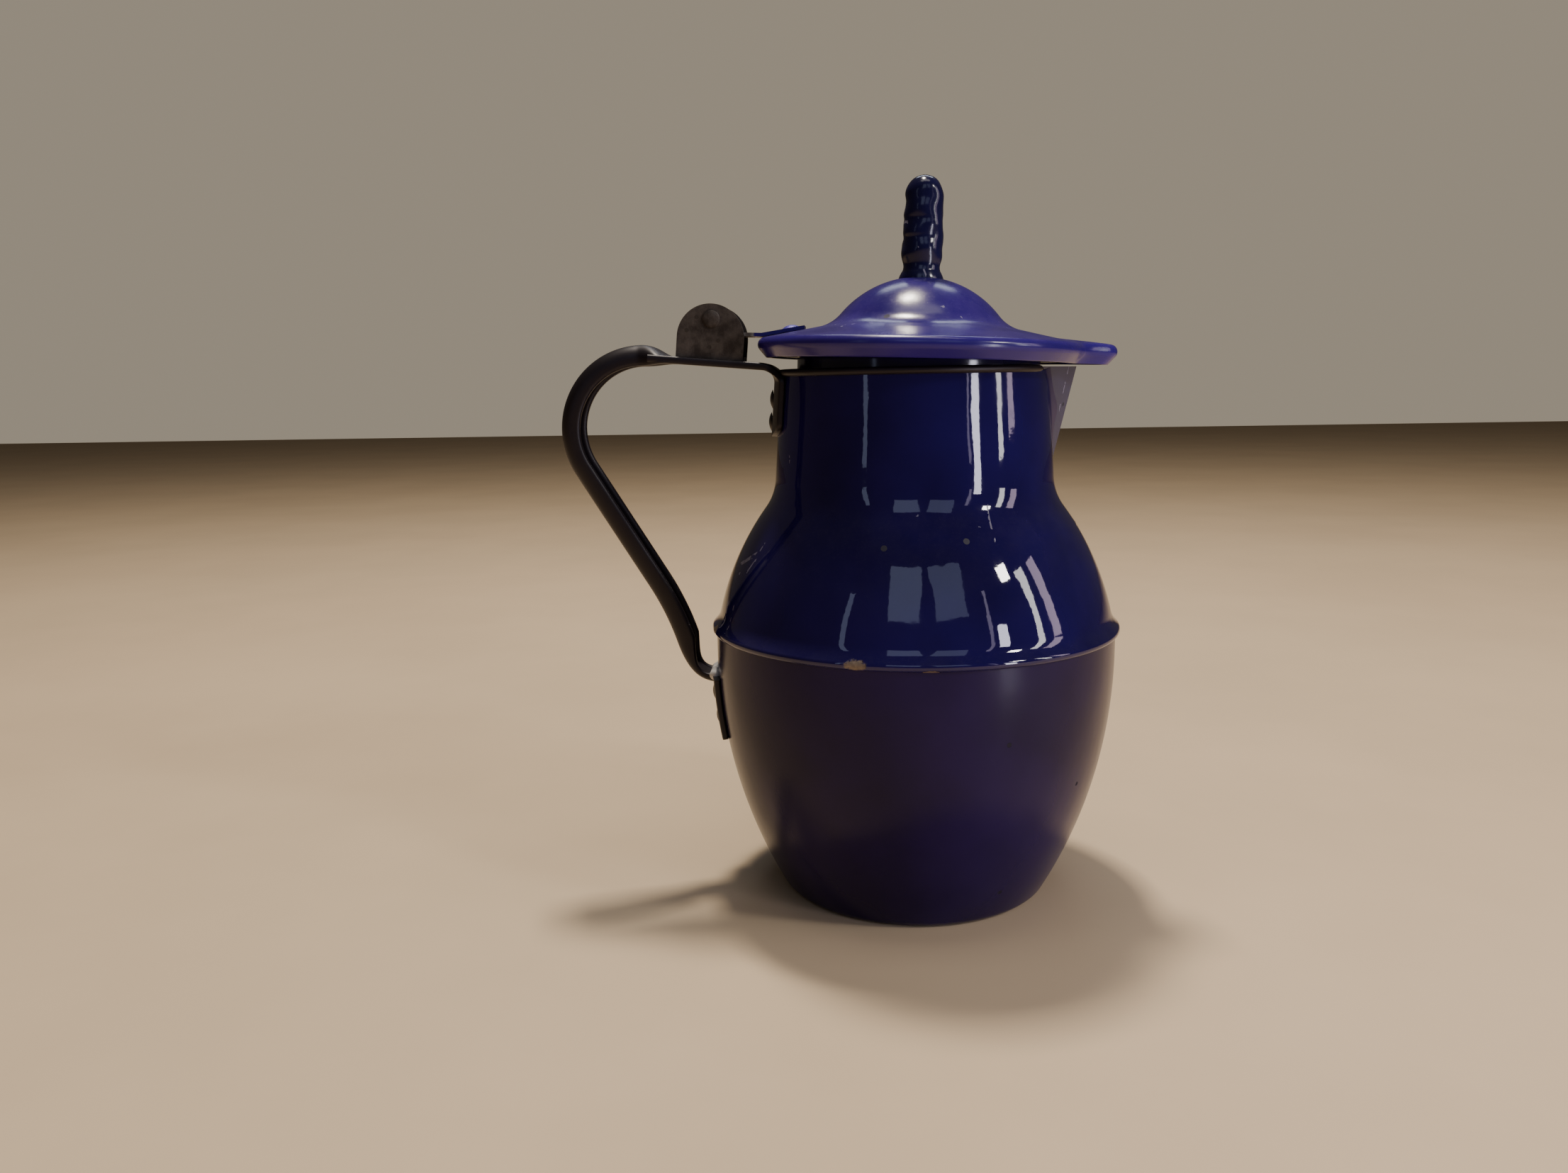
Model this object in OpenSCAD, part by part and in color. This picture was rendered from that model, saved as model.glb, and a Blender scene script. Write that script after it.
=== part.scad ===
// Small enamelled jug with a hinged lid, a strap handle and a V-shaped pouring lip.
// Millimetres, +Z up. The origin is the centre of the flat base; the handle lies
// towards -X and the lip towards +X, so the XZ plane is the plane of symmetry.

/* [Bowl] */
// Outer radius of the bowl at its widest
belly_r = 45.1; // [38:0.1:56]
// Height of the widest level of the bowl
belly_z = 56; // [50:0.5:59]
// Radius at which the bowl's side would meet the floor
base_r = 30.2; // [22:0.1:34]
// Rounding between the floor and the side
base_round = 3; // [2:0.1:6]
// Thickness of the enamelled sheet
sheet = 1; // [0.7:0.1:1.3]

/* [Shoulder and neck] */
// Height of the rolled seam that joins bowl and shoulder
seam_z = 61; // [60:0.1:63]
// Radius of the round bead on the seam
seam_bead_r = 1.05; // [0.8:0.05:1.3]
// Outer radius of the neck at the mouth
neck_r = 29.4; // [26:0.1:34]
// Slope of the neck's side, widening downwards
neck_taper = 4; // [1:0.5:6]
// Height of the mouth, at the middle of its rim bead
mouth_z = 117.8; // [105:0.1:140]
// Radius of the round rim bead
rim_bead_r = 0.78; // [0.6:0.02:1]
// Radius of the shoulder's outward curve
shoulder_curve = 64; // [58:0.5:72]
// Radius of the hollow curve between shoulder and neck
neck_curve = 12; // [8:0.5:16]

/* [Pouring lip] */
// How far the lip stands out beyond the neck
lip_reach = 6.5; // [4:0.1:8]
// Lean of the lip's sharp front edge away from upright
lip_lean = 13.4; // [8:0.2:18]
// Half angle of the V, seen along its front edge
lip_half_angle = 54; // [48:0.5:55]
// Half width of the V's sheets, measured across the jug
lip_half_w = 15; // [12:0.2:18]

/* [Handle] */
// Width of the strap's channel section
strap_w = 8.6; // [7.8:0.1:11]
// Depth of the strap's channel section
strap_depth = 4.7; // [3.8:0.1:6]
// Thickness of the strap metal
strap_t = 1.6; // [1.2:0.1:2]
// Rounding of the strap's two long outer edges
strap_round = 3.2; // [2.4:0.1:3.6]
// Width of the flat seat under the hinge
seat_w = 14; // [12:0.2:18]
// Outer radius of the handle's upper bend
bend_r = 18.9; // [17:0.1:22]
// Outer radius of the reverse bend above the foot
reverse_r = 61.6; // [45:0.2:80]
// How far the heel of the strap stands out beyond the belly
heel_out = 9.5; // [8.5:0.1:12]
// How far the heel lies below the seam
heel_drop = 4.3; // [3:0.1:6]
// Width of the plates that wrap the neck and the bowl
plate_w = 20; // [16:0.5:24]
// Height of the plate on the neck
neck_plate_h = 13.5; // [10:0.5:16]
// Height of the foot plate on the bowl
foot_h = 15; // [13:0.5:18]

/* [Hinge] */
// How far the hinge pin stands out beyond the lid's rim
pin_out = 9.6; // [9:0.1:13]
// Height of the hinge pin above the mouth
pin_rise = 11.9; // [10.5:0.1:13]
// Radius of the hinge pin
pin_r = 1.25; // [1:0.05:1.5]
// Radial running clearance of the lid leaf on the pin
pin_gap = 0.05; // [0.02:0.01:0.1]
// Radius of the rounded ears
ear_r = 7.4; // [7:0.1:8.4]
// Clear width between the ears
ear_space = 9; // [7:0.2:10]
// Thickness of the ears and of the saddle's floor
ear_t = 1; // [0.8:0.1:1.3]
// Distance from the pin down to the strap
pin_over_strap = 8.6; // [8:0.1:10]
// Slope of the strap where the saddle sits, falling towards the neck
seat_slope = 5; // [0:0.5:8]

/* [Lid] */
// Outermost radius of the lid's rim
lid_r = 35.6; // [33:0.1:42]
// Height from the lid's lower edge to the top of the dome
dome_h = 18.1; // [16:0.1:22]
// Radius of the dome's curve
dome_curve = 22.5; // [20:0.5:25]
// Radius of the hollow curve around the dome
hollow_curve = 9; // [6:0.5:11]
// Slope of the lid's flange
flange_slope = 12; // [8:0.5:15]
// Rounding of the lid's rim
rim_round = 1.6; // [1.3:0.1:2]
// Height of the rim rounding's centre above the lid's lower edge
rim_mid = 2.75; // [2.4:0.05:3.5]
// Inward lean of the lid's skirt
skirt_lean = 42; // [20:1:45]
// Thickness of the lid sheet
lid_t = 0.9; // [0.7:0.1:1]
// How far the lid's beak runs beyond the rim
beak_reach = 7.9; // [5:0.1:11]
// Radius of the beak's rounded nose
beak_r = 6; // [4:0.2:8]
// Sag of the closed lid towards the lip, about the hinge
lid_sag = 2.2; // [0:0.1:2.4]
// Height of the lid's lower edge above the mouth, on the lid's axis
lid_lift = 2.2; // [2.2:0.1:3]
// Offset of the lid's axis towards the lip
lid_shift = 1; // [0:0.1:1.2]
// Radial gap between the lid's collar and the neck
collar_gap = 1.7; // [1.6:0.1:2.5]
// Depth of the collar below the lid's lower edge
collar_depth = 4.5; // [3:0.1:6]

/* [Knob] */
// Radius of the knob at its thickest ring
knob_r = 4.55; // [4:0.05:5.5]
// Height of the knob above the dome
knob_h = 21.8; // [18:0.1:26]
// Radius of the stud that holds the knob
stud_r = 1.5; // [1.2:0.1:2]

/* [Hidden] */
$fn = 96;
// Small overlap that makes neighbouring stretches of one piece a single solid.
lap = 0.05;
// How much slimmer a stretch is than the neighbours it sinks into.
hair = 0.02;

// Points along a circular arc, in steps of about the given angle.
function arc(c, r, a0, a1, step = 4) =
    let (n = max(2, ceil(abs(a1 - a0) / step)))
    [for (i = [0:n]) c + r * [cos(a0 + (a1 - a0) * i / n), sin(a0 + (a1 - a0) * i / n)]];

// Points along a curve that leaves p towards q and arrives at r from q.
function bend(p, q, r, n = 6) =
    [for (i = [0:n]) let (u = i / n) (1 - u) * (1 - u) * p + 2 * u * (1 - u) * q + u * u * r];

function reversed(list) = [for (i = [len(list) - 1:-1:0]) list[i]];

// ---- Bowl ----
bowl_curve = (pow(belly_z, 2) + pow(belly_r - base_r, 2)) / (2 * (belly_r - base_r));
bowl_c = [belly_r - bowl_curve, belly_z];
corner_c = [bowl_c.x + sqrt(pow(bowl_curve - base_round, 2) - pow(belly_z - base_round, 2)),
            base_round];
corner_a = atan2(corner_c.y - bowl_c.y, corner_c.x - bowl_c.x);

// Outline of the bowl from the floor's centre to its top edge, moved inwards by d.
function bowl_line(d) = concat(
    [[0, d]],
    arc(corner_c, base_round - d, -90, corner_a, 12),
    arc(bowl_c, bowl_curve - d, corner_a, 0, 2),
    [[belly_r - d, seam_z]]);

module bowl_fill() {
    rotate_extrude()
        polygon(concat(bowl_line(0), [[0, seam_z]]));
}

// Radius of the bowl's outside at height z.
function bowl_r_at(z) = bowl_c.x + sqrt(pow(bowl_curve, 2) - pow(z - belly_z, 2));

module lower_bowl() {
    color("midnightblue")
        difference() {
            rotate_extrude()
                polygon(concat(bowl_line(0), reversed(bowl_line(sheet))));
            foot_rivet_holes();
        }
}

// ---- Shoulder and neck ----
shoulder_out = 0.7;
shoulder_z = belly_z - 6;
shoulder_c = [belly_r + shoulder_out - shoulder_curve, shoulder_z];
// Centre of the hollow curve: tangent to the neck's side and to the shoulder.
neck_n = [cos(neck_taper), sin(neck_taper)];
neck_d = [sin(neck_taper), -cos(neck_taper)];
neck_from = [neck_r, mouth_z] + neck_curve * neck_n - shoulder_c;
neck_half = neck_from * neck_d;
neck_left = neck_from * neck_from - pow(shoulder_curve + neck_curve, 2);
hollow_c = neck_from + shoulder_c
    + (-neck_half - sqrt(pow(neck_half, 2) - neck_left)) * neck_d;
turn_a = atan2(hollow_c.y - shoulder_c.y, hollow_c.x - shoulder_c.x);
flare_z = seam_z + 3.4;
flare_a = asin((flare_z - shoulder_z) / shoulder_curve);
seam_bead_c = [belly_r - 0.1, seam_z + 0.1];
neck_top = mouth_z - 0.4;

// Point on the neck's straight side at height z, moved inwards by d.
function neck_at(z, d) =
    [neck_r + (mouth_z - z) * tan(neck_taper) - d / cos(neck_taper), z];

// Outline from the neck's top down to the start of the flare, moved inwards by d.
function shoulder_line(d) = concat(
    [neck_at(neck_top, d)],
    arc(hollow_c, neck_curve + d, 180 + neck_taper, 180 + turn_a, 5),
    arc(shoulder_c, shoulder_curve - d, turn_a, flare_a, 1.5));

function shoulder_at(z, d) =
    [shoulder_c.x + sqrt(pow(shoulder_curve - d, 2) - pow(z - shoulder_z, 2)), z];

// The flare sweeps from the shoulder out to the top of the seam bead.
flare = bend(shoulder_at(flare_z, 0), shoulder_at(seam_z + 1.5, -0.1),
             seam_bead_c + seam_bead_r * [cos(50), sin(50)]);

module neck_fill() {
    rotate_extrude()
        polygon(concat([[0, mouth_z + 5], neck_at(mouth_z + 5, 0)],
                       shoulder_line(0), [[0, flare_z]]));
}

// Under edge of the seam bead, where it grips the bowl's edge.
seam_grip_a = -acos((belly_r - seam_bead_c.x) / seam_bead_r);

module upper_body() {
    color("navy")
        difference() {
            rotate_extrude()
                polygon(concat(shoulder_line(0), flare, arc(seam_bead_c, seam_bead_r, 40, seam_grip_a, 15),
                               [[belly_r, seam_z], shoulder_at(seam_z, sheet)],
                               reversed(shoulder_line(sheet))));
            lip_wedge(lip_sheet);
            neck_rivet_holes();
        }
}

rim_bead_c = neck_at(mouth_z, 0) + [0.25, 0];

// Round bead that is rolled over the neck's top edge.
module rim_ring() {
    difference() {
        rotate_extrude()
            polygon(arc(rim_bead_c, rim_bead_r, 0, 345, 15));
        rotate_extrude()
            polygon([[0, neck_top - 2], neck_at(neck_top - 2, 0), neck_at(neck_top, 0), [0, neck_top]]);
    }
}

module rim_bead() {
    color("black")
        difference() {
            rim_ring();
            lip_wedge(0);
        }
}

// ---- Pouring lip ----
lip_sheet = 0.9;
lip_top = mouth_z + 0.4;
lip_tip_x = neck_r + lip_reach;
lip_len = 30;

// Solid V whose front edge leans outwards; inset moves both faces inwards.
module lip_wedge(inset) {
    apex = -inset / sin(lip_half_angle);
    back = lip_half_w / tan(lip_half_angle);
    translate([lip_tip_x, 0, lip_top])
        rotate([0, lip_lean, 0])
            translate([0, 0, -lip_len])
                linear_extrude(lip_len + 8)
                    polygon([[apex, 0], [apex - back, lip_half_w], [apex - back, -lip_half_w]]);
}

module pouring_lip() {
    color("darkslateblue")
        difference() {
            lip_wedge(0);
            lip_wedge(lip_sheet);
            neck_fill();
            // Level top edge.
            translate([0, -50, lip_top])
                cube([100, 100, 50]);
        }
}

// ---- Hinge frame ----
pin_x = lid_r - lid_shift + pin_out;
pin_z = mouth_z + pin_rise;

// Frame of the strap's seat: origin on the pin, X along the strap towards the neck.
module at_pin() {
    translate([-pin_x, 0, pin_z])
        rotate([0, seat_slope, 0])
            children();
}

// ---- Handle ----
seat_top = -pin_over_strap;
seat_left = -12.5;
bend_c = [-pin_x - 16.3, pin_z - 24.05];
heel = [-belly_r - heel_out, seam_z - heel_drop];
heel_a = 18;
reverse_c = heel - reverse_r * [cos(heel_a), sin(heel_a)];
// The straight grip is tangent to both bends, which curve opposite ways.
bends_apart = reverse_c - bend_c;
grip_len = sqrt(bends_apart * bends_apart - pow(bend_r + reverse_r, 2));
grip_slope = -atan2(bends_apart.y, bends_apart.x) - atan2(bend_r + reverse_r, grip_len);
grip_a = 270 - grip_slope;
grip_start = bend_c + bend_r * [cos(grip_a), sin(grip_a)];
reverse_a = 90 - grip_slope;
foot_top = heel.y - 7.1;
foot_low = foot_top - foot_h;
plate_t = 1.4;

// Channel section: crown on x = 0, lips reaching to x = -depth.
function channel(w, depth, t, round) = concat(
    [[-depth, w / 2]],
    arc([-round, w / 2 - round], round, 90, 0, 15),
    arc([-round, round - w / 2], round, 0, -90, 15),
    [[-depth, -w / 2], [-depth, t - w / 2]],
    reversed(arc([-round, round - w / 2], round - t, 0, -90, 15)),
    reversed(arc([-round, w / 2 - round], round - t, 90, 0, 15)),
    [[-depth, w / 2 - t]]);

strap_section = channel(strap_w, strap_depth, strap_t, strap_round);
// Section of the straight lengths, a hair slimmer so their ends sink into the bends.
run_section = [for (p = channel(strap_w - 2 * hair, strap_depth - 2 * hair, strap_t - 2 * hair,
                                strap_round - hair)) p - [hair, 0]];

// Bent length of strap; side is 1 with the crown outside the bend, -1 inside.
module strap_bend(c, r, a0, a1, side) {
    translate([c.x, 0, c.y])
        rotate([90, 0, 0])
            rotate([0, 0, a0])
                rotate_extrude(angle = a1 - a0)
                    translate([r, 0])
                        scale_x(side)
                            polygon(strap_section);
}

module scale_x(side) {
    if (side < 0)
        mirror([1, 0])
            children();
    else
        children();
}

// Straight length of strap from p, running at the given angle below level.
module strap_run(p, slope, length) {
    translate([p.x, 0, p.y])
        rotate([0, 90 + slope, 0])
            translate([0, 0, -lap])
                linear_extrude(length + 2 * lap)
                    polygon(run_section);
}

// A side view, extruded across the strap.
module across(w) {
    translate([0, w / 2, 0])
        rotate([90, 0, 0])
            linear_extrude(w)
                children();
}

// Strip of a sheet of revolution: wraps the side facing -X over a width w.
module wrap_plate(w, r) {
    intersection() {
        rotate([0, 0, 180 - 60])
            rotate_extrude(angle = 120)
                children();
        translate([-2 * r, -w / 2, 0])
            cube([2 * r, w, pin_z]);
    }
}

// Flat seat, with the channel's open end closed against it.
module seat() {
    at_pin()
        translate([seat_left, -seat_w / 2, seat_top - strap_t])
            cube([pin_x - neck_r - seat_left + 0.2, seat_w, strap_t]);
    translate([bend_c.x + 3, 0, bend_c.y + bend_r])
        rotate([0, -90, 0])
            linear_extrude(3 + lap)
                polygon(run_section);
    across(strap_w)
        polygon([[bend_c.x + 3, bend_c.y + bend_r - 0.6], [bend_c.x + 4.5, bend_c.y + bend_r - 2],
                 [bend_c.x + 4.5, bend_c.y + bend_r - strap_depth + 0.9],
                 [bend_c.x + 3, bend_c.y + bend_r - strap_depth]]);
}

// Point on the strap's end face at the heel, at depth d and pushed a little way up the strap.
function heel_at(d, up) =
    heel + d * [cos(heel_a), sin(heel_a)] + up * [-sin(heel_a), cos(heel_a)];

// Lower end of the channel, drawn in to a ledge that meets the bowl.
module heel_block() {
    ledge_z = foot_top;
    outer = [heel_at(hair, lap), heel + [3.6, -7.4], heel + [5.6, -9],
             [-bowl_r_at(ledge_z) - 0.4, ledge_z - 2.6], [-bowl_r_at(ledge_z) - 0.4, ledge_z],
             [heel.x + strap_depth + 0.7, ledge_z],
             heel + [strap_depth, -6.2], heel + [strap_depth - 0.3, -3.4],
             heel_at(strap_depth - hair, lap)];
    difference() {
        across(strap_w - 2 * hair)
            polygon(outer);
        across(strap_w - 2 * strap_t)
            polygon([heel + [strap_t * 1.05, 1], heel + [strap_depth - 0.2, -6],
                     heel + [strap_depth + 2, -6], heel + [strap_depth + 2, 9],
                     heel + [strap_t, 9]]);
    }
}

module handle() {
    color("black")
        difference() {
            union() {
                seat();
                strap_bend(bend_c, bend_r, 90, grip_a, 1);
                strap_run(grip_start, grip_slope, grip_len);
                strap_bend(reverse_c, reverse_r, heel_a, reverse_a, -1);
                heel_block();
                wrap_plate(plate_w, neck_r)
                    neck_plate_outline();
                wrap_plate(plate_w, belly_r)
                    foot_outline();
            }
            neck_fill();
            bowl_fill();
            rim_ring();
            neck_rivet_holes();
            foot_rivet_holes();
            saddle_rivet_holes();
        }
}

// Neck plate: follows the neck's side from below the seat.
module neck_plate_outline() {
    low = neck_top - neck_plate_h;
    high = pin_z - pin_over_strap - strap_t - (pin_x - neck_r) * tan(seat_slope) + 0.6;
    polygon([neck_at(low, lap), neck_at(low, -plate_t), neck_at(high, -plate_t),
             neck_at(high, lap)]);
}

// Foot plate: a strip of constant thickness on the outside of the bowl.
module foot_outline() {
    a_low = asin((foot_low - belly_z) / bowl_curve);
    a_top = asin((foot_top - belly_z) / bowl_curve);
    polygon(concat(arc(bowl_c, bowl_curve + plate_t, a_low, a_top, 2),
                   reversed(arc(bowl_c, bowl_curve - lap, a_low, a_top, 2))));
}

// ---- Handle rivets ----
rivet_r = 1.4;
rivet_head_r = 2.4;
rivet_head_h = 0.8;
neck_rivet_z = [neck_top - 5.4, neck_top - 10.4];
foot_rivet_z = [foot_top - 5, foot_top - 10.8];

// Rivet along local +X from the inside of a wall to the outside of a plate.
module rivet(grip) {
    rotate([0, 90, 0]) {
        cylinder(r = rivet_r, h = grip);
        translate([0, 0, grip])
            rivet_head(1);
        rivet_head(-1);
    }
}

// Low domed head; side -1 faces inwards.
module rivet_head(side) {
    dome_r = (pow(rivet_head_r, 2) + pow(rivet_head_h, 2)) / (2 * rivet_head_h);
    dome_a = asin(rivet_head_r / dome_r);
    mirror([0, 0, side < 0 ? 1 : 0])
        rotate_extrude()
            polygon(concat([[0, 0]], arc([0, rivet_head_h - dome_r], dome_r, 90 - dome_a, 90, 6)));
}

// Frame of a neck rivet: on the inside of the wall, X outwards through it.
module at_neck_rivet(z) {
    inside = neck_at(z, sheet);
    translate([-inside.x, 0, z])
        rotate([0, neck_taper, 180])
            children();
}

module neck_rivets() {
    color("black")
        for (z = neck_rivet_z)
            at_neck_rivet(z)
                rivet(sheet + plate_t);
}

module neck_rivet_holes() {
    for (z = neck_rivet_z)
        at_neck_rivet(z)
            translate([-sheet, 0, 0])
                rotate([0, 90, 0])
                    cylinder(r = rivet_r, h = 3 * sheet + plate_t);
}

// Direction of the bowl's side at height z, as an angle below level.
function bowl_tilt(z) = asin((belly_z - z) / bowl_curve);

module at_foot_rivet(z) {
    translate([-bowl_c.x, 0, bowl_c.y])
        rotate([0, -bowl_tilt(z), 0])
            translate([-(bowl_curve - sheet), 0, 0])
                rotate([0, 0, 180])
                    children();
}

module foot_rivets() {
    color("black")
        for (z = foot_rivet_z)
            at_foot_rivet(z)
                rivet(sheet + plate_t);
}

module foot_rivet_holes() {
    for (z = foot_rivet_z)
        at_foot_rivet(z)
            translate([-sheet, 0, 0])
                rotate([0, 90, 0])
                    cylinder(r = rivet_r, h = 3 * sheet + plate_t);
}

// Bead of braze along the corner where the ledge and the foot plate meet the bowl.
braze_r = 1.9;
module foot_braze() {
    color("dimgray")
        difference() {
            translate([-bowl_r_at(foot_top) - 0.5, 0, foot_top])
                rotate([90, 0, 0])
                    cylinder(r = braze_r, h = strap_w + 4, center = true);
            translate([-2 * belly_r, -strap_w, foot_top - 2 * braze_r])
                cube([2 * belly_r, 2 * strap_w, 2 * braze_r]);
            bowl_fill();
        }
}

// ---- Hinge ----
ear_mid = seat_top + ear_r - 2.9;
saddle_w = ear_space + 2 * ear_t;
saddle_rivet_r = 1.3;
saddle_rivet_x = [-4.4, 4.4];

module ear_outline() {
    translate([0, ear_mid])
        circle(ear_r);
    translate([-ear_r, seat_top])
        square([2 * ear_r, ear_mid - seat_top]);
}

module hinge_saddle() {
    color("dimgray")
        at_pin()
            difference() {
                across(saddle_w)
                    intersection() {
                        ear_outline();
                        translate([-ear_r, seat_top])
                            square([2 * ear_r, 2 * ear_r]);
                    }
                translate([-2 * ear_r, -ear_space / 2, seat_top + ear_t])
                    cube([4 * ear_r, ear_space, 3 * ear_r]);
                rotate([90, 0, 0])
                    cylinder(r = pin_r, h = 2 * saddle_w, center = true);
                saddle_rivet_shapes();
            }
}

// Countersunk rivets, flush above and below, that hold the saddle on the strap.
module saddle_rivet_shapes() {
    grip = strap_t + ear_t;
    flare_h = 0.6;
    for (x = saddle_rivet_x)
        translate([x, 0, seat_top - strap_t])
            rotate_extrude()
                polygon([[0, 0], [saddle_rivet_r + flare_h, 0], [saddle_rivet_r, flare_h],
                         [saddle_rivet_r, grip - flare_h], [saddle_rivet_r + flare_h, grip],
                         [0, grip]]);
}

module saddle_rivets() {
    color("gray")
        at_pin()
            saddle_rivet_shapes();
}

module saddle_rivet_holes() {
    at_pin()
        saddle_rivet_shapes();
}

pin_head_r = 1.9;
pin_head_h = 0.6;
module hinge_pin() {
    color("gray")
        at_pin()
            rotate([90, 0, 0]) {
                cylinder(r = pin_r, h = saddle_w, center = true);
                for (side = [0, 1])
                    mirror([0, 0, side])
                        translate([0, 0, saddle_w / 2])
                            rotate_extrude()
                                polygon(concat([[0, 0], [pin_head_r, 0]],
                                               bend([pin_head_r, pin_head_h / 2],
                                                    [pin_head_r * 0.8, pin_head_h],
                                                    [0, pin_head_h], 4)));
            }
}

// ---- Lid frame ----
// The lid is drawn level on its own axis, with its lower edge on z = 0.
lid_z = mouth_z + lid_lift;
module at_lid() {
    translate([lid_shift, 0, lid_z])
        rotate([0, lid_sag, 0])
            children();
}

// ---- Lid ----
rim_c = [lid_r - rim_round, rim_mid];
dome_c = [0, dome_h - dome_curve];
flange_n = [sin(flange_slope), cos(flange_slope)];
flange_t = [cos(flange_slope), -sin(flange_slope)];
flange_end = rim_c + rim_round * flange_n;
// Centre of the hollow curve: tangent to the flange's line and to the dome.
hollow_from = flange_end + hollow_curve * flange_n - dome_c;
hollow_half = hollow_from * flange_t;
hollow_left = hollow_from * hollow_from - pow(dome_curve + hollow_curve, 2);
hollow_step = -hollow_half + sqrt(pow(hollow_half, 2) - hollow_left);
lid_hollow_c = flange_end + hollow_curve * flange_n + hollow_step * flange_t;
dome_edge_a = atan2(lid_hollow_c.y - dome_c.y, lid_hollow_c.x - dome_c.x);
flange_stop = lid_r - rim_round - 0.4;

function flange_at(r, d) =
    [r, flange_end.y - d / cos(flange_slope) + (flange_end.x - r) * tan(flange_slope)];

// Dome and hollow, from the axis out to where the flange begins, moved inwards by d.
function lid_top_line(d) = concat(
    arc(dome_c, dome_curve - d, 90, dome_edge_a, 3),
    arc(lid_hollow_c, hollow_curve + d, 180 + dome_edge_a, 270 - flange_slope, 6));

// Rounded rim and leaning skirt, moved inwards by d, down to the lower edge.
function rim_line(d) = let (
    bottom = rim_c + (rim_round - d) * [cos(skirt_lean), -sin(skirt_lean)]) concat(
    arc(rim_c, rim_round - d, 90 - flange_slope, -skirt_lean, 12),
    [[bottom.x - bottom.y * tan(skirt_lean), 0]]);

// Section of the rim from radius r outwards, thinner by d on both faces.
function rim_section(r, d) = concat(
    [flange_at(r, d)], rim_line(d), reversed(rim_line(lid_t - d)), [flange_at(r, lid_t - d)]);

beak_c = [lid_r + beak_reach - beak_r, 0];
beak_a = acos((lid_r - beak_r) / beak_c.x);
beak_side = beak_c.x * sin(beak_a);

// Plan of the beak's flat top: the nose's arc, then out to both sides and back to the flange.
beak_bite = 0.1;
function beak_plan() = let (
    nose = beak_r - rim_round - 0.4 + beak_bite,
    side = (flange_stop + beak_bite) * [cos(beak_a), sin(beak_a)]
        - 3 * beak_bite * [sin(beak_a), -cos(beak_a)]) concat(
    arc(beak_c, nose, -beak_a, beak_a, 6), [side],
    arc([0, 0], flange_stop - beak_bite, beak_a + 0.5, -beak_a - 0.5, 3), [[side.x, -side.y]]);

module lid() {
    color("blue")
        at_lid()
            difference() {
                union() {
                    difference() {
                        rotate_extrude()
                            polygon(concat(lid_top_line(0), rim_line(0),
                                           reversed(rim_line(lid_t)),
                                           reversed(lid_top_line(lid_t))));
                        // The round rim stops where the beak begins.
                        rotate([0, 0, -beak_a])
                            rotate_extrude(angle = 2 * beak_a)
                                translate([flange_stop, -1])
                                    square([lid_r, dome_h]);
                    }
                    beak();
                }
                translate([0, 0, dome_h - 5])
                    cylinder(r = stud_r, h = 10);
                leaf_rivet_shapes();
            }
}

module beak() {
    top = flange_at(flange_stop, 0).y;
    // Flat top between the flange and the beak's rim, sunk a hair into both.
    translate([0, 0, top - lid_t + hair])
        linear_extrude(lid_t - 3 * hair)
            polygon(beak_plan());
    // Rim carried straight along both sides, a hair slimmer so its ends sink into the curves.
    for (side = [0, 1])
        mirror([0, side, 0])
            rotate([0, 0, beak_a])
                rotate([90, 0, 0])
                    translate([0, 0, -lap])
                        linear_extrude(beak_side + 2 * lap)
                            polygon(rim_section(flange_stop - 1.5 * beak_bite, hair));
    // Rim carried round the nose.
    translate([beak_c.x, 0, 0])
        rotate([0, 0, -beak_a])
            rotate_extrude(angle = 2 * beak_a)
                translate([beak_r - lid_r, 0])
                    polygon(rim_section(flange_stop, 0));
}

// ---- Collar inside the lid ----
collar_r = neck_r - sheet - collar_gap;
collar_t = 0.8;
shelf_low = 0.3;
skirt_foot = rim_line(lid_t)[len(rim_line(lid_t)) - 1];
shelf_r = skirt_foot.x + shelf_low * tan(skirt_lean) - 0.01;

module lid_collar() {
    color("navy")
        at_lid()
            rotate_extrude()
                polygon([[collar_r - collar_t, -collar_depth], [collar_r, -collar_depth],
                         [collar_r, shelf_low], [shelf_r, shelf_low],
                         [shelf_r + collar_t * tan(skirt_lean), shelf_low + collar_t],
                         [collar_r - collar_t, shelf_low + collar_t]]);
}

// ---- Leaf that carries the lid on the pin ----
leaf_t = 0.8;
leaf_w = ear_space - 0.6;
knuckle_r = pin_r + pin_gap + 0.9;
leaf_rivet_r = 1.2;
leaf_rivet_at = [for (y = [-2.2, 2.2]) [7.4 - lid_r, y]];
leaf_end = lid_r - 10.4;
leaf_edge = lid_r - 1;

// The pin in the lid's own frame.
pin_in_lid = let (dx = -pin_x - lid_shift, dz = pin_z - lid_z)
    [dx * cos(lid_sag) - dz * sin(lid_sag), dx * sin(lid_sag) + dz * cos(lid_sag)];

// Height of the flange at distance r from the lid's axis.
function flange_top(r) = flange_at(r, 0).y;

edge_z = flange_top(leaf_edge) + 0.2;

// Strip: down from the knuckle, level to the rim, then up the flange.
module leaf_strip() {
    polygon([pin_in_lid + [-0.3, -knuckle_r + 0.45], pin_in_lid + [1.5, -knuckle_r + 0.6],
             [pin_in_lid.x + 3.4, edge_z + leaf_t], [-leaf_edge, edge_z + leaf_t],
             [-leaf_end, flange_top(leaf_end) + leaf_t + 0.02],
             [-leaf_end, flange_top(leaf_end) + 0.02], [-leaf_edge, edge_z],
             [pin_in_lid.x + 2.8, edge_z], pin_in_lid + [0.6, -knuckle_r + 0.02]]);
}

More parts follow.
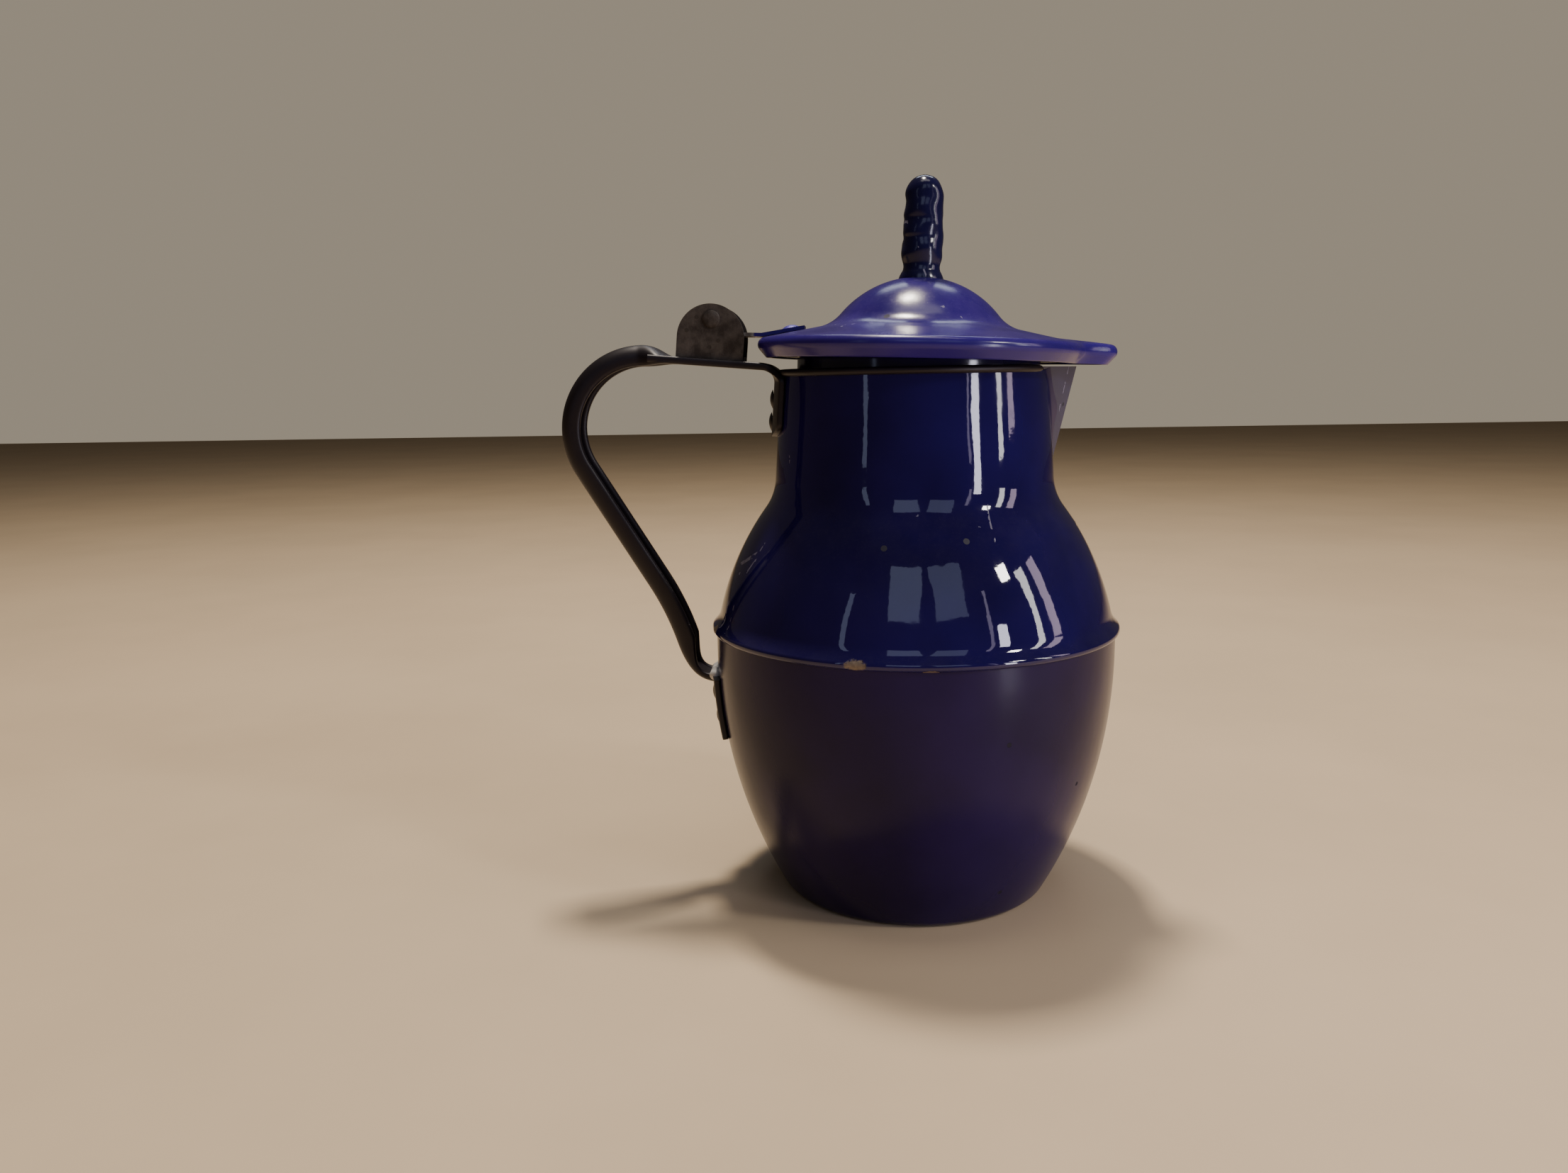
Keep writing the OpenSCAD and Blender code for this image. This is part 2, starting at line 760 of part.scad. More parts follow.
module lid_leaf() {
    color("dimgray")
        at_lid()
            difference() {
                union() {
                    across(leaf_w)
                        translate(pin_in_lid)
                            circle(knuckle_r);
                    across(leaf_w)
                        leaf_strip();
                }
                translate([pin_in_lid.x, 0, pin_in_lid.y])
                    rotate([90, 0, 0])
                        cylinder(r = pin_r + pin_gap, h = 2 * leaf_w, center = true);
                leaf_rivet_shapes();
            }
}

// Rivets standing square to the flange, with a low head above the leaf.
module leaf_rivet_shapes() {
    for (p = leaf_rivet_at)
        translate([p.x, p.y, flange_top(-p.x)])
            rotate([0, -flange_slope, 0])
                translate([0, 0, -lid_t])
                    cylinder(r = leaf_rivet_r, h = lid_t + leaf_t + 0.3);
}

module leaf_rivets() {
    color("mediumblue")
        at_lid() {
            leaf_rivet_shapes();
            for (p = leaf_rivet_at)
                translate([p.x, p.y, flange_top(-p.x)])
                    rotate([0, -flange_slope, 0]) {
                        translate([0, 0, leaf_t + 0.1])
                            scale(0.8)
                                rivet_head(1);
                        translate([0, 0, -lid_t])
                            scale(0.8)
                                rivet_head(-1);
                    }
        }
}

// ---- Knob ----
knob_foot = dome_h - 0.35;
knob_bore = 9;

// Silhouette of the knob: flared foot, waist, two soft rings and a round tip.
function knob_line() = concat(
    [[0, knob_foot]],
    bend([knob_r + 0.5, knob_foot], [knob_r - 0.35, knob_foot + 1.6], [knob_r - 0.4, knob_foot + 4]),
    bend([knob_r - 0.35, knob_foot + 4.2], [knob_r, knob_foot + 4.6], [knob_r, knob_foot + 6.4]),
    bend([knob_r, knob_foot + 7.2], [knob_r - 0.1, knob_foot + 9.2], [knob_r - 0.25, knob_foot + 9.4]),
    bend([knob_r - 0.1, knob_foot + 10.2], [knob_r - 0.1, knob_foot + 14],
         [knob_r - 0.5, knob_foot + 16.6]),
    bend([knob_r - 0.6, knob_foot + 17.2], [knob_r - 1, knob_foot + knob_h],
         [0, knob_foot + knob_h], 10));

module knob() {
    color("midnightblue")
        at_lid()
            difference() {
                rotate_extrude()
                    polygon(knob_line());
                // The foot is hollowed to sit on the dome.
                translate([0, 0, dome_c.y])
                    sphere(dome_curve);
                translate([0, 0, dome_h - 2])
                    cylinder(r = stud_r, h = 2 + knob_bore);
            }
}

washer_t = 0.8;
washer_r = 4;
washer_z = dome_c.y + sqrt(pow(dome_curve - lid_t, 2) - pow(washer_r, 2)) - washer_t;

module knob_stud() {
    color("gray")
        at_lid() {
            translate([0, 0, washer_z])
                cylinder(r = stud_r, h = dome_h + knob_bore - washer_z);
            translate([0, 0, washer_z])
                scale(1.1)
                    rivet_head(-1);
        }
}

module knob_washer() {
    color("silver")
        at_lid()
            translate([0, 0, washer_z])
                difference() {
                    cylinder(r = washer_r, h = washer_t);
                    translate([0, 0, -1])
                        cylinder(r = stud_r, h = washer_t + 2);
                }
}

lower_bowl();
upper_body();
rim_bead();
pouring_lip();
handle();
neck_rivets();
foot_rivets();
foot_braze();
hinge_saddle();
saddle_rivets();
hinge_pin();
lid();
lid_collar();
lid_leaf();
leaf_rivets();
knob();
knob_stud();
knob_washer();
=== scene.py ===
"""Enamelled steel jug with a hinged lid: its visible surfaces and finishes.

The jug stands on z = 0 with its axis on Z, the pouring lip towards +X and the handle towards -X.
All lengths are metres. The lid is worked out level on its own axis and then put in place.
"""

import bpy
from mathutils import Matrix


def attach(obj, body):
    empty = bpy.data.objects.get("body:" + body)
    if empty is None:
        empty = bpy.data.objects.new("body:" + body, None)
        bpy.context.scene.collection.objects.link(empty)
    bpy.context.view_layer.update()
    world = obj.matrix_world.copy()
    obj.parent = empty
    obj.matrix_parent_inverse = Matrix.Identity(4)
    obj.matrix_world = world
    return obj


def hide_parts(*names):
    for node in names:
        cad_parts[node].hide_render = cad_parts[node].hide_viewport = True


bl_info = {
    "name": "Enamelled jug",
    "version": (1, 0, 0),
    "blender": (4, 5, 0),
    "location": "View3D > Sidebar > Jug",
    "description": "Builds the surfaces and finishes of a hinged-lid enamelled jug",
    "category": "Add Mesh",
}

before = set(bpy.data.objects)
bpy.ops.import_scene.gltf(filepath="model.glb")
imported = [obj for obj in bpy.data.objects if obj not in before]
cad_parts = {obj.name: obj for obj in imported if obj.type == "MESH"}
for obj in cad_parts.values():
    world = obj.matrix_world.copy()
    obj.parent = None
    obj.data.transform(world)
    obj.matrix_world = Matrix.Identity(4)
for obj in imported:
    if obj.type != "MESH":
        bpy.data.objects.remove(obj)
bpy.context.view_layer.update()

import math

import bpy
import numpy as np
from bpy.props import FloatProperty, FloatVectorProperty, PointerProperty
from mathutils import Matrix, Vector

MM = 0.001
POT = "pot"
LID = "lid"
ROUND_COLUMNS = 320


# ---- Curves in the jug's plane of symmetry, as arrays of (x or radius, z) ----


def arc(centre, radius, start, end, count):
    """Points on a circle: centre plus radius times (cosine, sine) of angles from start to end."""
    angle = np.radians(np.linspace(start, end, count))
    return np.asarray(centre) + radius * np.column_stack([np.cos(angle), np.sin(angle)])


def line(start, end, count):
    """Evenly spaced points on the straight from start to end."""
    share = np.linspace(0, 1, count)[:, None]
    return (1 - share) * np.asarray(start) + share * np.asarray(end)


def bezier(points, count):
    """Cubic Bezier curve through four control points, by the Bernstein weights."""
    u = np.linspace(0, 1, count)[:, None]
    p = np.asarray(points, float)
    return (
        (1 - u) ** 3 * p[0] + 3 * u * (1 - u) ** 2 * p[1] + 3 * u**2 * (1 - u) * p[2] + u**3 * p[3]
    )


def joined(*parts):
    """One curve from several, leaving out each part's first point where it repeats the last."""
    kept = [parts[0]]
    for part in parts[1:]:
        repeats = np.linalg.norm(part[0] - kept[-1][-1]) < 1e-9
        kept.append(part[1:] if repeats else part)
    return np.vstack(kept)


def smoothstep(value, low, high):
    """0 below low, 1 above high, and 3t^2 - 2t^3 between them."""
    t = np.clip((value - low) / (high - low), 0, 1)
    return t * t * (3 - 2 * t)


def soft_max(a, b, blend):
    """The larger of two arrays, rounded over about the blend length where they cross."""
    return 0.5 * (a + b + np.sqrt((a - b) ** 2 + blend**2))


# ---- Meshes ----


def surface(name, grid, around=True, along=False, poles=(False, False), crease=40):
    """Mesh from a grid of points: rows run along the profile and columns run around it.

    around and along join the last column or row to the first. A pole is a row whose points are
    all one, and becomes one vertex with a fan of triangles. Faces are turned to point outwards
    by the sign of the enclosed volume, the sum of a.(b x c) over the triangles.
    """
    rows, columns = grid.shape[:2]
    ids = np.arange(rows * columns).reshape(rows, columns)
    if poles[0]:
        ids[0] = ids[0, 0]
    if poles[1]:
        ids[-1] = ids[-1, 0]
    if around:
        ids = np.hstack([ids, ids[:, :1]])
    if along:
        ids = np.vstack([ids, ids[:1]])
    quads = np.stack([ids[:-1, :-1], ids[:-1, 1:], ids[1:, 1:], ids[1:, :-1]], -1).reshape(-1, 4)
    first = quads[:, 0] == quads[:, 1]
    last = quads[:, 2] == quads[:, 3]
    fans = np.vstack([quads[first][:, [0, 2, 3]], quads[last][:, [0, 1, 2]]])
    quads = quads[~(first | last)]
    used, packed = np.unique(np.concatenate([quads.ravel(), fans.ravel()]), return_inverse=True)
    points = grid.reshape(-1, 3)[used]
    quads, fans = packed[: quads.size].reshape(-1, 4), packed[quads.size :].reshape(-1, 3)
    triangles = np.vstack([quads[:, [0, 1, 2]], quads[:, [0, 2, 3]], fans])
    a, b, c = (points[triangles[:, i]] - points.mean(0) for i in range(3))
    if np.einsum("ij,ij->", a, np.cross(b, c)) < 0:
        quads, fans = quads[:, ::-1], fans[:, ::-1]
    corners = np.concatenate([quads.ravel(), fans.ravel()]).astype(np.int32)
    sizes = np.concatenate([np.full(len(quads), 4), np.full(len(fans), 3)]).astype(np.int32)
    mesh = bpy.data.meshes.new(name)
    mesh.vertices.add(len(points))
    mesh.vertices.foreach_set("co", points.astype(np.float32).ravel())
    mesh.loops.add(len(corners))
    mesh.loops.foreach_set("vertex_index", corners)
    mesh.polygons.add(len(sizes))
    mesh.polygons.foreach_set("loop_start", np.concatenate([[0], np.cumsum(sizes)[:-1]]))
    mesh.polygons.foreach_set("use_smooth", np.ones(len(sizes), bool))
    mesh.update(calc_edges=True)
    mesh.validate()
    mesh.set_sharp_from_angle(angle=math.radians(crease))
    piece = bpy.data.objects.new(name, mesh)
    bpy.context.scene.collection.objects.link(piece)
    return piece


def turned(profile, angles):
    """Surface of revolution: (r cos t, r sin t, z) for each profile point and each angle t."""
    r, z = profile[:, :1], profile[:, 1:]
    return np.stack([r * np.cos(angles), r * np.sin(angles), z + 0 * angles], -1)


def full_turn(count=ROUND_COLUMNS):
    """Even angles round one turn, without the last, which would repeat the first."""
    return np.linspace(0, 2 * math.pi, count, endpoint=False)


def capped(grid):
    """The grid with a pole added before its first row and after its last, at each row's middle."""
    caps = [np.repeat(grid[i].mean(0)[None, None, :], grid.shape[1], axis=1) for i in (0, -1)]
    return np.concatenate([caps[0], grid, caps[1]])


def rounded_end(run, start, span):
    """1 along a strip up to start, then a superellipse of power 2.6 down to its blunt end."""
    late = np.clip((run - start) / span, 0, 1)
    return np.sqrt(np.clip(1 - late**2.6, 0.12, 1))


def ready(piece, body, slot, material, *nodes):
    """Gives a piece its body and material, and hides the nodes it stands for. slot is not used."""
    piece.data.materials.append(material)
    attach(piece, body)
    if nodes:
        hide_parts(*nodes)
    return piece


# ---- Shader node groups and materials ----


def fill(tree, node, values):
    """Sets each input to a number or colour, or links it to a socket. Returns the node."""
    for key, value in values.items():
        if isinstance(value, bpy.types.NodeSocket):
            tree.links.new(value, node.inputs[key])
        else:
            node.inputs[key].default_value = value
    return node


def add(tree, kind, values=None, **settings):
    """Adds a node, sets its properties, then fills its inputs."""
    node = tree.nodes.new(kind)
    for key, value in settings.items():
        setattr(node, key, value)
    return fill(tree, node, values or {})


def maths(tree, operation, a, b=0.0, clamp=False):
    """One Math node; a and b are numbers or sockets. Returns its output."""
    return add(
        tree, "ShaderNodeMath", values={0: a, 1: b}, operation=operation, use_clamp=clamp
    ).outputs[0]


def times(tree, a, b):
    """Product of two numbers or sockets."""
    return maths(tree, "MULTIPLY", a, b)


def plus(tree, a, b):
    """Sum of two numbers or sockets."""
    return maths(tree, "ADD", a, b)


def blended(tree, share, a, b):
    """Mixes two colours by a share from 0 to 1. Returns the colour."""
    node = add(tree, "ShaderNodeMix", data_type="RGBA", values={0: share, 6: a, 7: b})
    return node.outputs[2]


def ranged(tree, value, low, high, to_low=0.0, to_high=1.0):
    """Maps a value from low..high to to_low..to_high, held at both ends."""
    node = add(
        tree,
        "ShaderNodeMapRange",
        values={"Value": value, 1: low, 2: high, 3: to_low, 4: to_high},
        interpolation_type="SMOOTHSTEP",
    )
    return node.outputs["Result"]


def noise(tree, vector, scale, detail=3.0, roughness=0.5):
    """Noise between 0 and 1; scale is in lumps per metre."""
    node = add(
        tree,
        "ShaderNodeTexNoise",
        values={"Vector": vector, "Scale": scale, "Detail": detail, "Roughness": roughness},
    )
    return node.outputs["Fac"]


def stretched(tree, vector, scale):
    """The vector with its axes scaled, so a pattern is drawn out along one of them."""
    node = add(tree, "ShaderNodeMapping", values={"Vector": vector, "Scale": scale})
    return node.outputs["Vector"]


def new_group(name, output, **inputs):
    """Empty shader node group: a Vector and the named numbers or vectors in, one number out."""
    group = bpy.data.node_groups.new(name, "ShaderNodeTree")
    group.interface.new_socket("Vector", in_out="INPUT", socket_type="NodeSocketVector")
    for label, default in inputs.items():
        kind = "NodeSocketVector" if isinstance(default, tuple) else "NodeSocketFloat"
        socket = group.interface.new_socket(label, in_out="INPUT", socket_type=kind)
        socket.default_value = default
    group.interface.new_socket(output, in_out="OUTPUT", socket_type="NodeSocketFloat")
    return group, group.nodes.new("NodeGroupInput"), group.nodes.new("NodeGroupOutput")


def glaze_waves():
    """Height of a fired glaze: slow dips, a finer orange peel, and runs drawn down the side."""
    group, given, result = new_group("Glaze waves", "Height", Dips=1.0, Peel=0.1, Runs=0.2)
    vector = given.outputs["Vector"]
    dips = times(group, noise(group, vector, 55.0, 1.5), given.outputs["Dips"])
    peel = times(group, noise(group, vector, 420.0, 2.0), given.outputs["Peel"])
    drawn = stretched(group, vector, (1.0, 1.0, 0.12))
    runs = times(group, noise(group, drawn, 140.0, 2.0), given.outputs["Runs"])
    total = plus(group, plus(group, dips, peel), runs)
    group.links.new(total, result.inputs["Height"])
    return group


def glaze_pits():
    """Mask of scattered pits: discs at the centres of a share of a Voronoi pattern's cells."""
    group, given, result = new_group("Glaze pits", "Mask", Spacing=120.0, Size=0.08, Share=0.3)
    vector = given.outputs["Vector"]
    cells = add(
        group, "ShaderNodeTexVoronoi", values={"Vector": vector, "Scale": given.outputs["Spacing"]}
    )
    near = maths(group, "LESS_THAN", cells.outputs["Distance"], given.outputs["Size"])
    split = add(group, "ShaderNodeSeparateColor", values={0: cells.outputs["Color"]})
    chosen = maths(group, "LESS_THAN", split.outputs[0], given.outputs["Share"])
    group.links.new(times(group, near, chosen), result.inputs["Mask"])
    return group


def fine_scratches():
    """Mask of short scuffs: thin, broken edges of a stretched Voronoi pattern, in patches.

    Share is the noise level above which a patch is scuffed, so more of it means fewer scuffs."""
    group, given, result = new_group("Fine scratches", "Mask", Scale=60.0, Width=0.01, Share=0.5)
    vector = given.outputs["Vector"]
    drawn = stretched(group, vector, (1.0, 1.0, 0.45))
    edges = add(
        group,
        "ShaderNodeTexVoronoi",
        values={"Vector": drawn, "Scale": given.outputs["Scale"]},
        feature="DISTANCE_TO_EDGE",
    )
    thin = maths(group, "LESS_THAN", edges.outputs["Distance"], given.outputs["Width"])
    patch = noise(group, vector, 38.0, 4.0, 0.7)
    chosen = maths(group, "GREATER_THAN", patch, given.outputs["Share"])
    broken = maths(group, "GREATER_THAN", noise(group, vector, 700.0, 2.0), 0.5)
    mask = times(group, times(group, thin, chosen), broken)
    group.links.new(mask, result.inputs["Mask"])
    return group


def chipped_spot():
    """Mask of one ragged chip: 1 inside Radius of Centre, its edge bent by noise."""
    group, given, result = new_group(
        "Chipped spot", "Mask",
        Centre=(0.0, 0.0, 0.0), Stretch=(1.0, 1.0, 1.0), Radius=0.002,
    )
    vector = given.outputs["Vector"]

    def step(operation, values, output):
        kind = "ShaderNodeVectorMath"
        return add(group, kind, values=values, operation=operation).outputs[output]

    away = step("SUBTRACT", {0: vector, 1: given.outputs["Centre"]}, 0)
    scaled = step("MULTIPLY", {0: away, 1: given.outputs["Stretch"]}, 0)
    far = step("LENGTH", {0: scaled}, "Value")
    share = maths(group, "DIVIDE", far, given.outputs["Radius"])
    rough = times(group, noise(group, vector, 900.0, 3.0, 0.7), 1.3)
    ragged = plus(group, share, rough)
    group.links.new(ranged(group, ragged, 1.75, 1.35), result.inputs["Mask"])
    return group


def settled_dust():
    """Mask of thin dust: more where the surface faces up, broken up by noise."""
    group, given, result = new_group("Settled dust", "Mask", Amount=0.3)
    vector = given.outputs["Vector"]
    normal = add(group, "ShaderNodeNewGeometry").outputs["Normal"]
    up = add(group, "ShaderNodeSeparateXYZ", values={0: normal}).outputs[2]
    facing = ranged(group, up, 0.1, 0.95)
    cloud = ranged(group, noise(group, vector, 90.0, 6.0, 0.7), 0.35, 0.75)
    grains = ranged(group, noise(group, vector, 1500.0, 3.0, 0.8), 0.5, 0.75)
    cloud, grains = times(group, cloud, 0.6), times(group, grains, 0.5)
    loose = times(group, facing, plus(group, cloud, grains))
    mask = times(group, loose, given.outputs["Amount"])
    group.links.new(mask, result.inputs["Mask"])
    return group


groups = {}


def group_node(tree, name, values):
    """Places one of the shared groups in a material."""
    if name not in groups:
        groups[name] = GROUP_MAKERS[name]()
    node = tree.nodes.new("ShaderNodeGroup")
    node.node_tree = groups[name]
    return fill(tree, node, values).outputs[0]


GROUP_MAKERS = {
    "waves": glaze_waves,
    "pits": glaze_pits,
    "scratches": fine_scratches,
    "chip": chipped_spot,
    "dust": settled_dust,
}


def blank_material(name):
    """Material with a Principled shader and the piece's own coordinates."""
    material = bpy.data.materials.new(name)
    material.use_nodes = True
    tree = material.node_tree
    shader = tree.nodes["Principled BSDF"]
    vector = add(tree, "ShaderNodeTexCoord").outputs["Object"]
    return material, tree, shader, vector


def rgba(colour, factor=1.0):
    """Opaque colour, each part times the factor and no more than 1."""
    return tuple(min(1.0, c * factor) for c in colour[:3]) + (1.0,)


def bumped(tree, shader, distance, height):
    """Gives the shader a bump from a height pattern; distance is the height of 1 in metres."""
    bump = add(
        tree, "ShaderNodeBump", values={"Strength": 1.0, "Distance": distance, "Height": height}
    )
    tree.links.new(bump.outputs["Normal"], shader.inputs["Normal"])


def enamel(name, colour, roughness=0.05, dips=1.0, peel=0.06, runs=0.25, wave=0.00022, dust=0.12,
           dust_colour=(0.16, 0.15, 0.17), pits=0.12, scuffs=0.62, chips=(), shift=1.5, ior=1.54):
    """Glossy fired enamel: two close tones, waves in the glaze, pits, scuffs, dust and chips.

    shift is the paler tone's brightness over the colour's, and wave the height of the waves.
    chips hold (centre, stretch, radius) of places where the glaze is lost down to brown iron.
    """
    material, tree, shader, vector = blank_material(name)

    tone = ranged(tree, noise(tree, vector, 32.0, 3.0), 0.3, 0.72)
    base = blended(tree, tone, rgba(colour, 0.8), rgba(colour, shift))
    dust_mask = group_node(tree, "dust", {"Vector": vector, "Amount": dust})
    base = blended(tree, dust_mask, base, rgba(dust_colour))
    scuff = group_node(tree, "scratches", {"Vector": vector, "Share": scuffs})
    base = blended(tree, times(tree, scuff, 0.45), base, (0.30, 0.28, 0.36, 1.0))
    pit = group_node(tree, "pits", {"Vector": vector, "Share": pits})
    base = blended(tree, times(tree, pit, 0.8), base, (0.012, 0.010, 0.014, 1.0))
    lost = pit
    for centre, stretch, radius in chips:
        shape = {"Vector": vector, "Centre": centre, "Stretch": stretch, "Radius": radius}
        chip = group_node(tree, "chip", shape)
        grain = noise(tree, vector, 1300.0, 4.0)
        rust = blended(tree, grain, (0.035, 0.022, 0.016, 1.0), (0.30, 0.22, 0.15, 1.0))
        base = blended(tree, chip, base, rust)
        lost = maths(tree, "MAXIMUM", lost, chip)
    tree.links.new(base, shader.inputs["Base Color"])
    dull = plus(tree, times(tree, dust_mask, 0.5), times(tree, scuff, 0.3))
    dull = plus(tree, dull, times(tree, lost, 0.5))
    smear = ranged(tree, noise(tree, vector, 48.0, 4.0, 0.6), 0.45, 0.75, 0.0, 0.05)
    rough = maths(tree, "ADD", plus(tree, dull, smear), roughness, clamp=True)
    tree.links.new(rough, shader.inputs["Roughness"])
    shader.inputs["IOR"].default_value = ior
    waves = {"Vector": vector, "Dips": dips, "Peel": peel, "Runs": runs}
    height = group_node(tree, "waves", waves)
    bumped(tree, shader, wave, maths(tree, "SUBTRACT", height, times(tree, lost, 0.5)))
    return material


def steel(name, colour, grime, roughness=0.42, stain=0.5, metal=0.85, brush=(1.0, 1.0, 1.0),
          relief=0.00005):
    """Bare or brazed metal: a brushed, uneven grey with brown grime and rougher stains.

    stain is the noise level where stains begin, brush scales the grain's axes, and relief is the
    height of the grain."""
    material, tree, shader, vector = blank_material(name)

    stains = ranged(tree, noise(tree, vector, 170.0, 6.0, 0.65), stain - 0.12, stain + 0.16)
    grain = noise(tree, stretched(tree, vector, brush), 900.0, 3.0, 0.6)
    clean = blended(tree, grain, rgba(colour, 0.75), rgba(colour, 1.3))
    base = blended(tree, stains, clean, rgba(grime))
    spots = {"Vector": vector, "Spacing": 420.0, "Size": 0.2, "Share": 0.3}
    specks = group_node(tree, "pits", spots)
    base = blended(tree, times(tree, specks, 0.6), base, (0.02, 0.014, 0.01, 1.0))
    tree.links.new(base, shader.inputs["Base Color"])
    metallic = ranged(tree, stains, 0.0, 1.0, metal, metal * 0.45)
    tree.links.new(metallic, shader.inputs["Metallic"])
    rough = plus(tree, times(tree, stains, 0.28), times(tree, grain, 0.2))
    rough = maths(tree, "ADD", rough, roughness - 0.1, clamp=True)
    tree.links.new(rough, shader.inputs["Roughness"])
    bumped(tree, shader, relief, plus(tree, times(tree, stains, -0.6), grain))
    return material


# ---- Settings ----


def length(label, text, default):
    """Setting for a length in metres."""
    return FloatProperty(
        name=label, description=text, default=default, subtype="DISTANCE", unit="LENGTH",
        precision=5,
    )


def tint(label, text, default):
    """Setting for a colour."""
    return FloatVectorProperty(
        name=label, description=text, default=default, subtype="COLOR", min=0.0, max=1.0
    )


class JugSizes(bpy.types.PropertyGroup):
    """Sizes of the jug's surfaces, which follow the metal parts they cover."""

    belly_radius: length("Belly radius", "Outer radius of the bowl at its widest", 0.0451)
    belly_height: length("Belly height", "Height of the bowl's widest level", 0.056)
    base_radius: length("Base radius", "Radius where the side would meet the floor", 0.0302)
    sheet: length("Sheet", "Thickness of the enamelled sheet", 0.001)
    seam_height: length("Seam height", "Height of the rolled seam", 0.061)
    neck_radius: length("Neck radius", "Outer radius of the neck at the mouth", 0.0294)
    mouth_height: length("Mouth height", "Height of the rim bead's middle", 0.1178)
    bead_radius: length("Rim bead", "Radius of the rim bead", 0.00078)
    lip_reach: length("Lip reach", "How far the lip stands out beyond the neck", 0.0065)
    strap_width: length("Strap width", "Width of the handle's channel", 0.0086)
    seat_width: length("Seat width", "Width of the flat seat under the hinge", 0.014)
    strap_depth: length("Strap depth", "Depth of the strap's channel", 0.0047)
    lid_radius: length("Lid radius", "Outermost radius of the lid's rim", 0.0356)
    dome_height: length("Dome height", "Height from the lid's lower edge to the dome's top", 0.0181)
    knob_height: length("Knob height", "Height of the knob above the dome", 0.0218)
    knob_radius: length("Knob radius", "Radius of the knob at its thickest ring", 0.00455)


class JugFinish(bpy.types.PropertyGroup):
    """Colours of the enamels and metals."""

    # Painted light: the bowl is the shoulder's enamel, and this redder, less blue copy of it stands
    # in for how the bowl is lit.
    bowl: tint("Bowl", "Enamel of the bowl", (0.0085, 0.0030, 0.034))
    shoulder: tint("Shoulder", "Enamel of the shoulder and neck", (0.0058, 0.0024, 0.046))
    lip: tint("Lip", "Enamel of the pouring lip", (0.020, 0.022, 0.060))
    lid: tint("Lid", "Enamel of the lid", (0.019, 0.0065, 0.132))
    knob: tint("Knob", "Enamel of the knob", (0.0040, 0.0032, 0.024))
    black: tint("Black", "Enamel of the handle and the rim bead", (0.0022, 0.0019, 0.003))
    hinge: tint("Hinge", "Bare steel of the hinge", (0.090, 0.076, 0.066))
    stud: tint("Stud", "Plain steel of the knob's stud and washer", (0.45, 0.44, 0.42))


class JugStage(bpy.types.PropertyGroup):
    """Floor, light and camera."""

    floor: tint("Floor", "Colour of the floor", (0.54, 0.41, 0.27))
    turn: FloatProperty(
        name="Turn",
        description="How far the camera goes round the jug towards the handle",
        default=math.radians(3.0),
        subtype="ANGLE",
        unit="ROTATION",
    )
    distance: length("Distance", "Distance of the camera from the jug's axis", 0.2672)
    height: length("Height", "Height of the camera", 0.1158)


# ---- Bowl ----


def bowl_curve(s):
    """Radius and centre of the side's arc: through (base, 0), upright at the belly."""
    swell = s.belly_radius - s.base_radius
    radius = (s.belly_height**2 + swell**2) / (2 * swell)
    return radius, np.array([s.belly_radius - radius, s.belly_height])


def bowl_radius(s, z):
    """Outer radius at height z: the centre's, plus sqrt(R^2 - height from the centre^2)."""
    radius, centre = bowl_curve(s)
    return centre[0] + np.sqrt(radius**2 - (z - centre[1]) ** 2)


def bowl_profile(s):
    """Closed half section: floor, rounded corner, side arc, top edge, and the same moved in."""
    radius, centre = bowl_curve(s)
    corner_round = 3 * MM
    corner_x = centre[0] + math.sqrt((radius - corner_round) ** 2 - (centre[1] - corner_round) ** 2)
    corner = np.array([corner_x, corner_round])
    lean = math.degrees(math.atan2(corner[1] - centre[1], corner[0] - centre[0]))

    def side(inset, count):
        edge_x = s.belly_radius - inset
        return joined(
            line((0.0, inset), (corner[0], inset), count // 4),
            arc(corner, corner_round - inset, -90, lean, count // 4),
            arc(centre, radius - inset, lean, 0, count),
            line((edge_x, s.belly_height), (edge_x, s.seam_height), 6),
        )

    return joined(side(0.0, 90), side(s.sheet, 60)[::-1])


class JUG_OT_bowl(bpy.types.Operator):
    """Bowl up to the rolled seam."""

    bl_idname = "jug.bowl"
    bl_label = "Bowl"

    def execute(self, context):
        s, finish = context.scene.jug_sizes, context.scene.jug_finish
        grid = turned(bowl_profile(s), full_turn())
        piece = surface("bowl_shell", grid, poles=(True, True))
        # The bowl's colour is a lit copy of the shoulder's enamel: painted light, not a second
        # enamel.
        glaze = enamel("bowl_enamel", finish.bowl, roughness=0.20, dips=1.2, runs=0.1, dust=0.02,
                       pits=0.08, scuffs=0.66, ior=1.30)
        ready(piece, POT, "bowl_enamel", glaze, "lower_bowl")
        return {"FINISHED"}


# ---- Shoulder, neck and pouring lip ----

NECK_TAPER = math.radians(4)
SHOULDER_CURVE = 64 * MM
NECK_CURVE = 12 * MM
LIP_HALF_ANGLE = math.radians(54)
LIP_LEAN = math.radians(13.4)
LIP_SHEET = 0.9 * MM
LIP_SPREAD = 0.75
LIP_COLUMNS = 150
BACK_COLUMNS = 220
BEAD_START = math.radians(27.5)


def shoulder_centres(s):
    """Centres of the shoulder's arc and of the hollow arc tangent to it and to the neck."""
    low = s.belly_height - 6 * MM
    shoulder = np.array([s.belly_radius + 0.7 * MM - SHOULDER_CURVE, low])
    out = np.array([math.cos(NECK_TAPER), math.sin(NECK_TAPER)])
    down = np.array([math.sin(NECK_TAPER), -math.cos(NECK_TAPER)])
    start = np.array([s.neck_radius, s.mouth_height]) + NECK_CURVE * out - shoulder
    half = start @ down
    left = start @ start - (SHOULDER_CURVE + NECK_CURVE) ** 2
    hollow = start + shoulder + (-half - math.sqrt(half**2 - left)) * down
    return shoulder, hollow


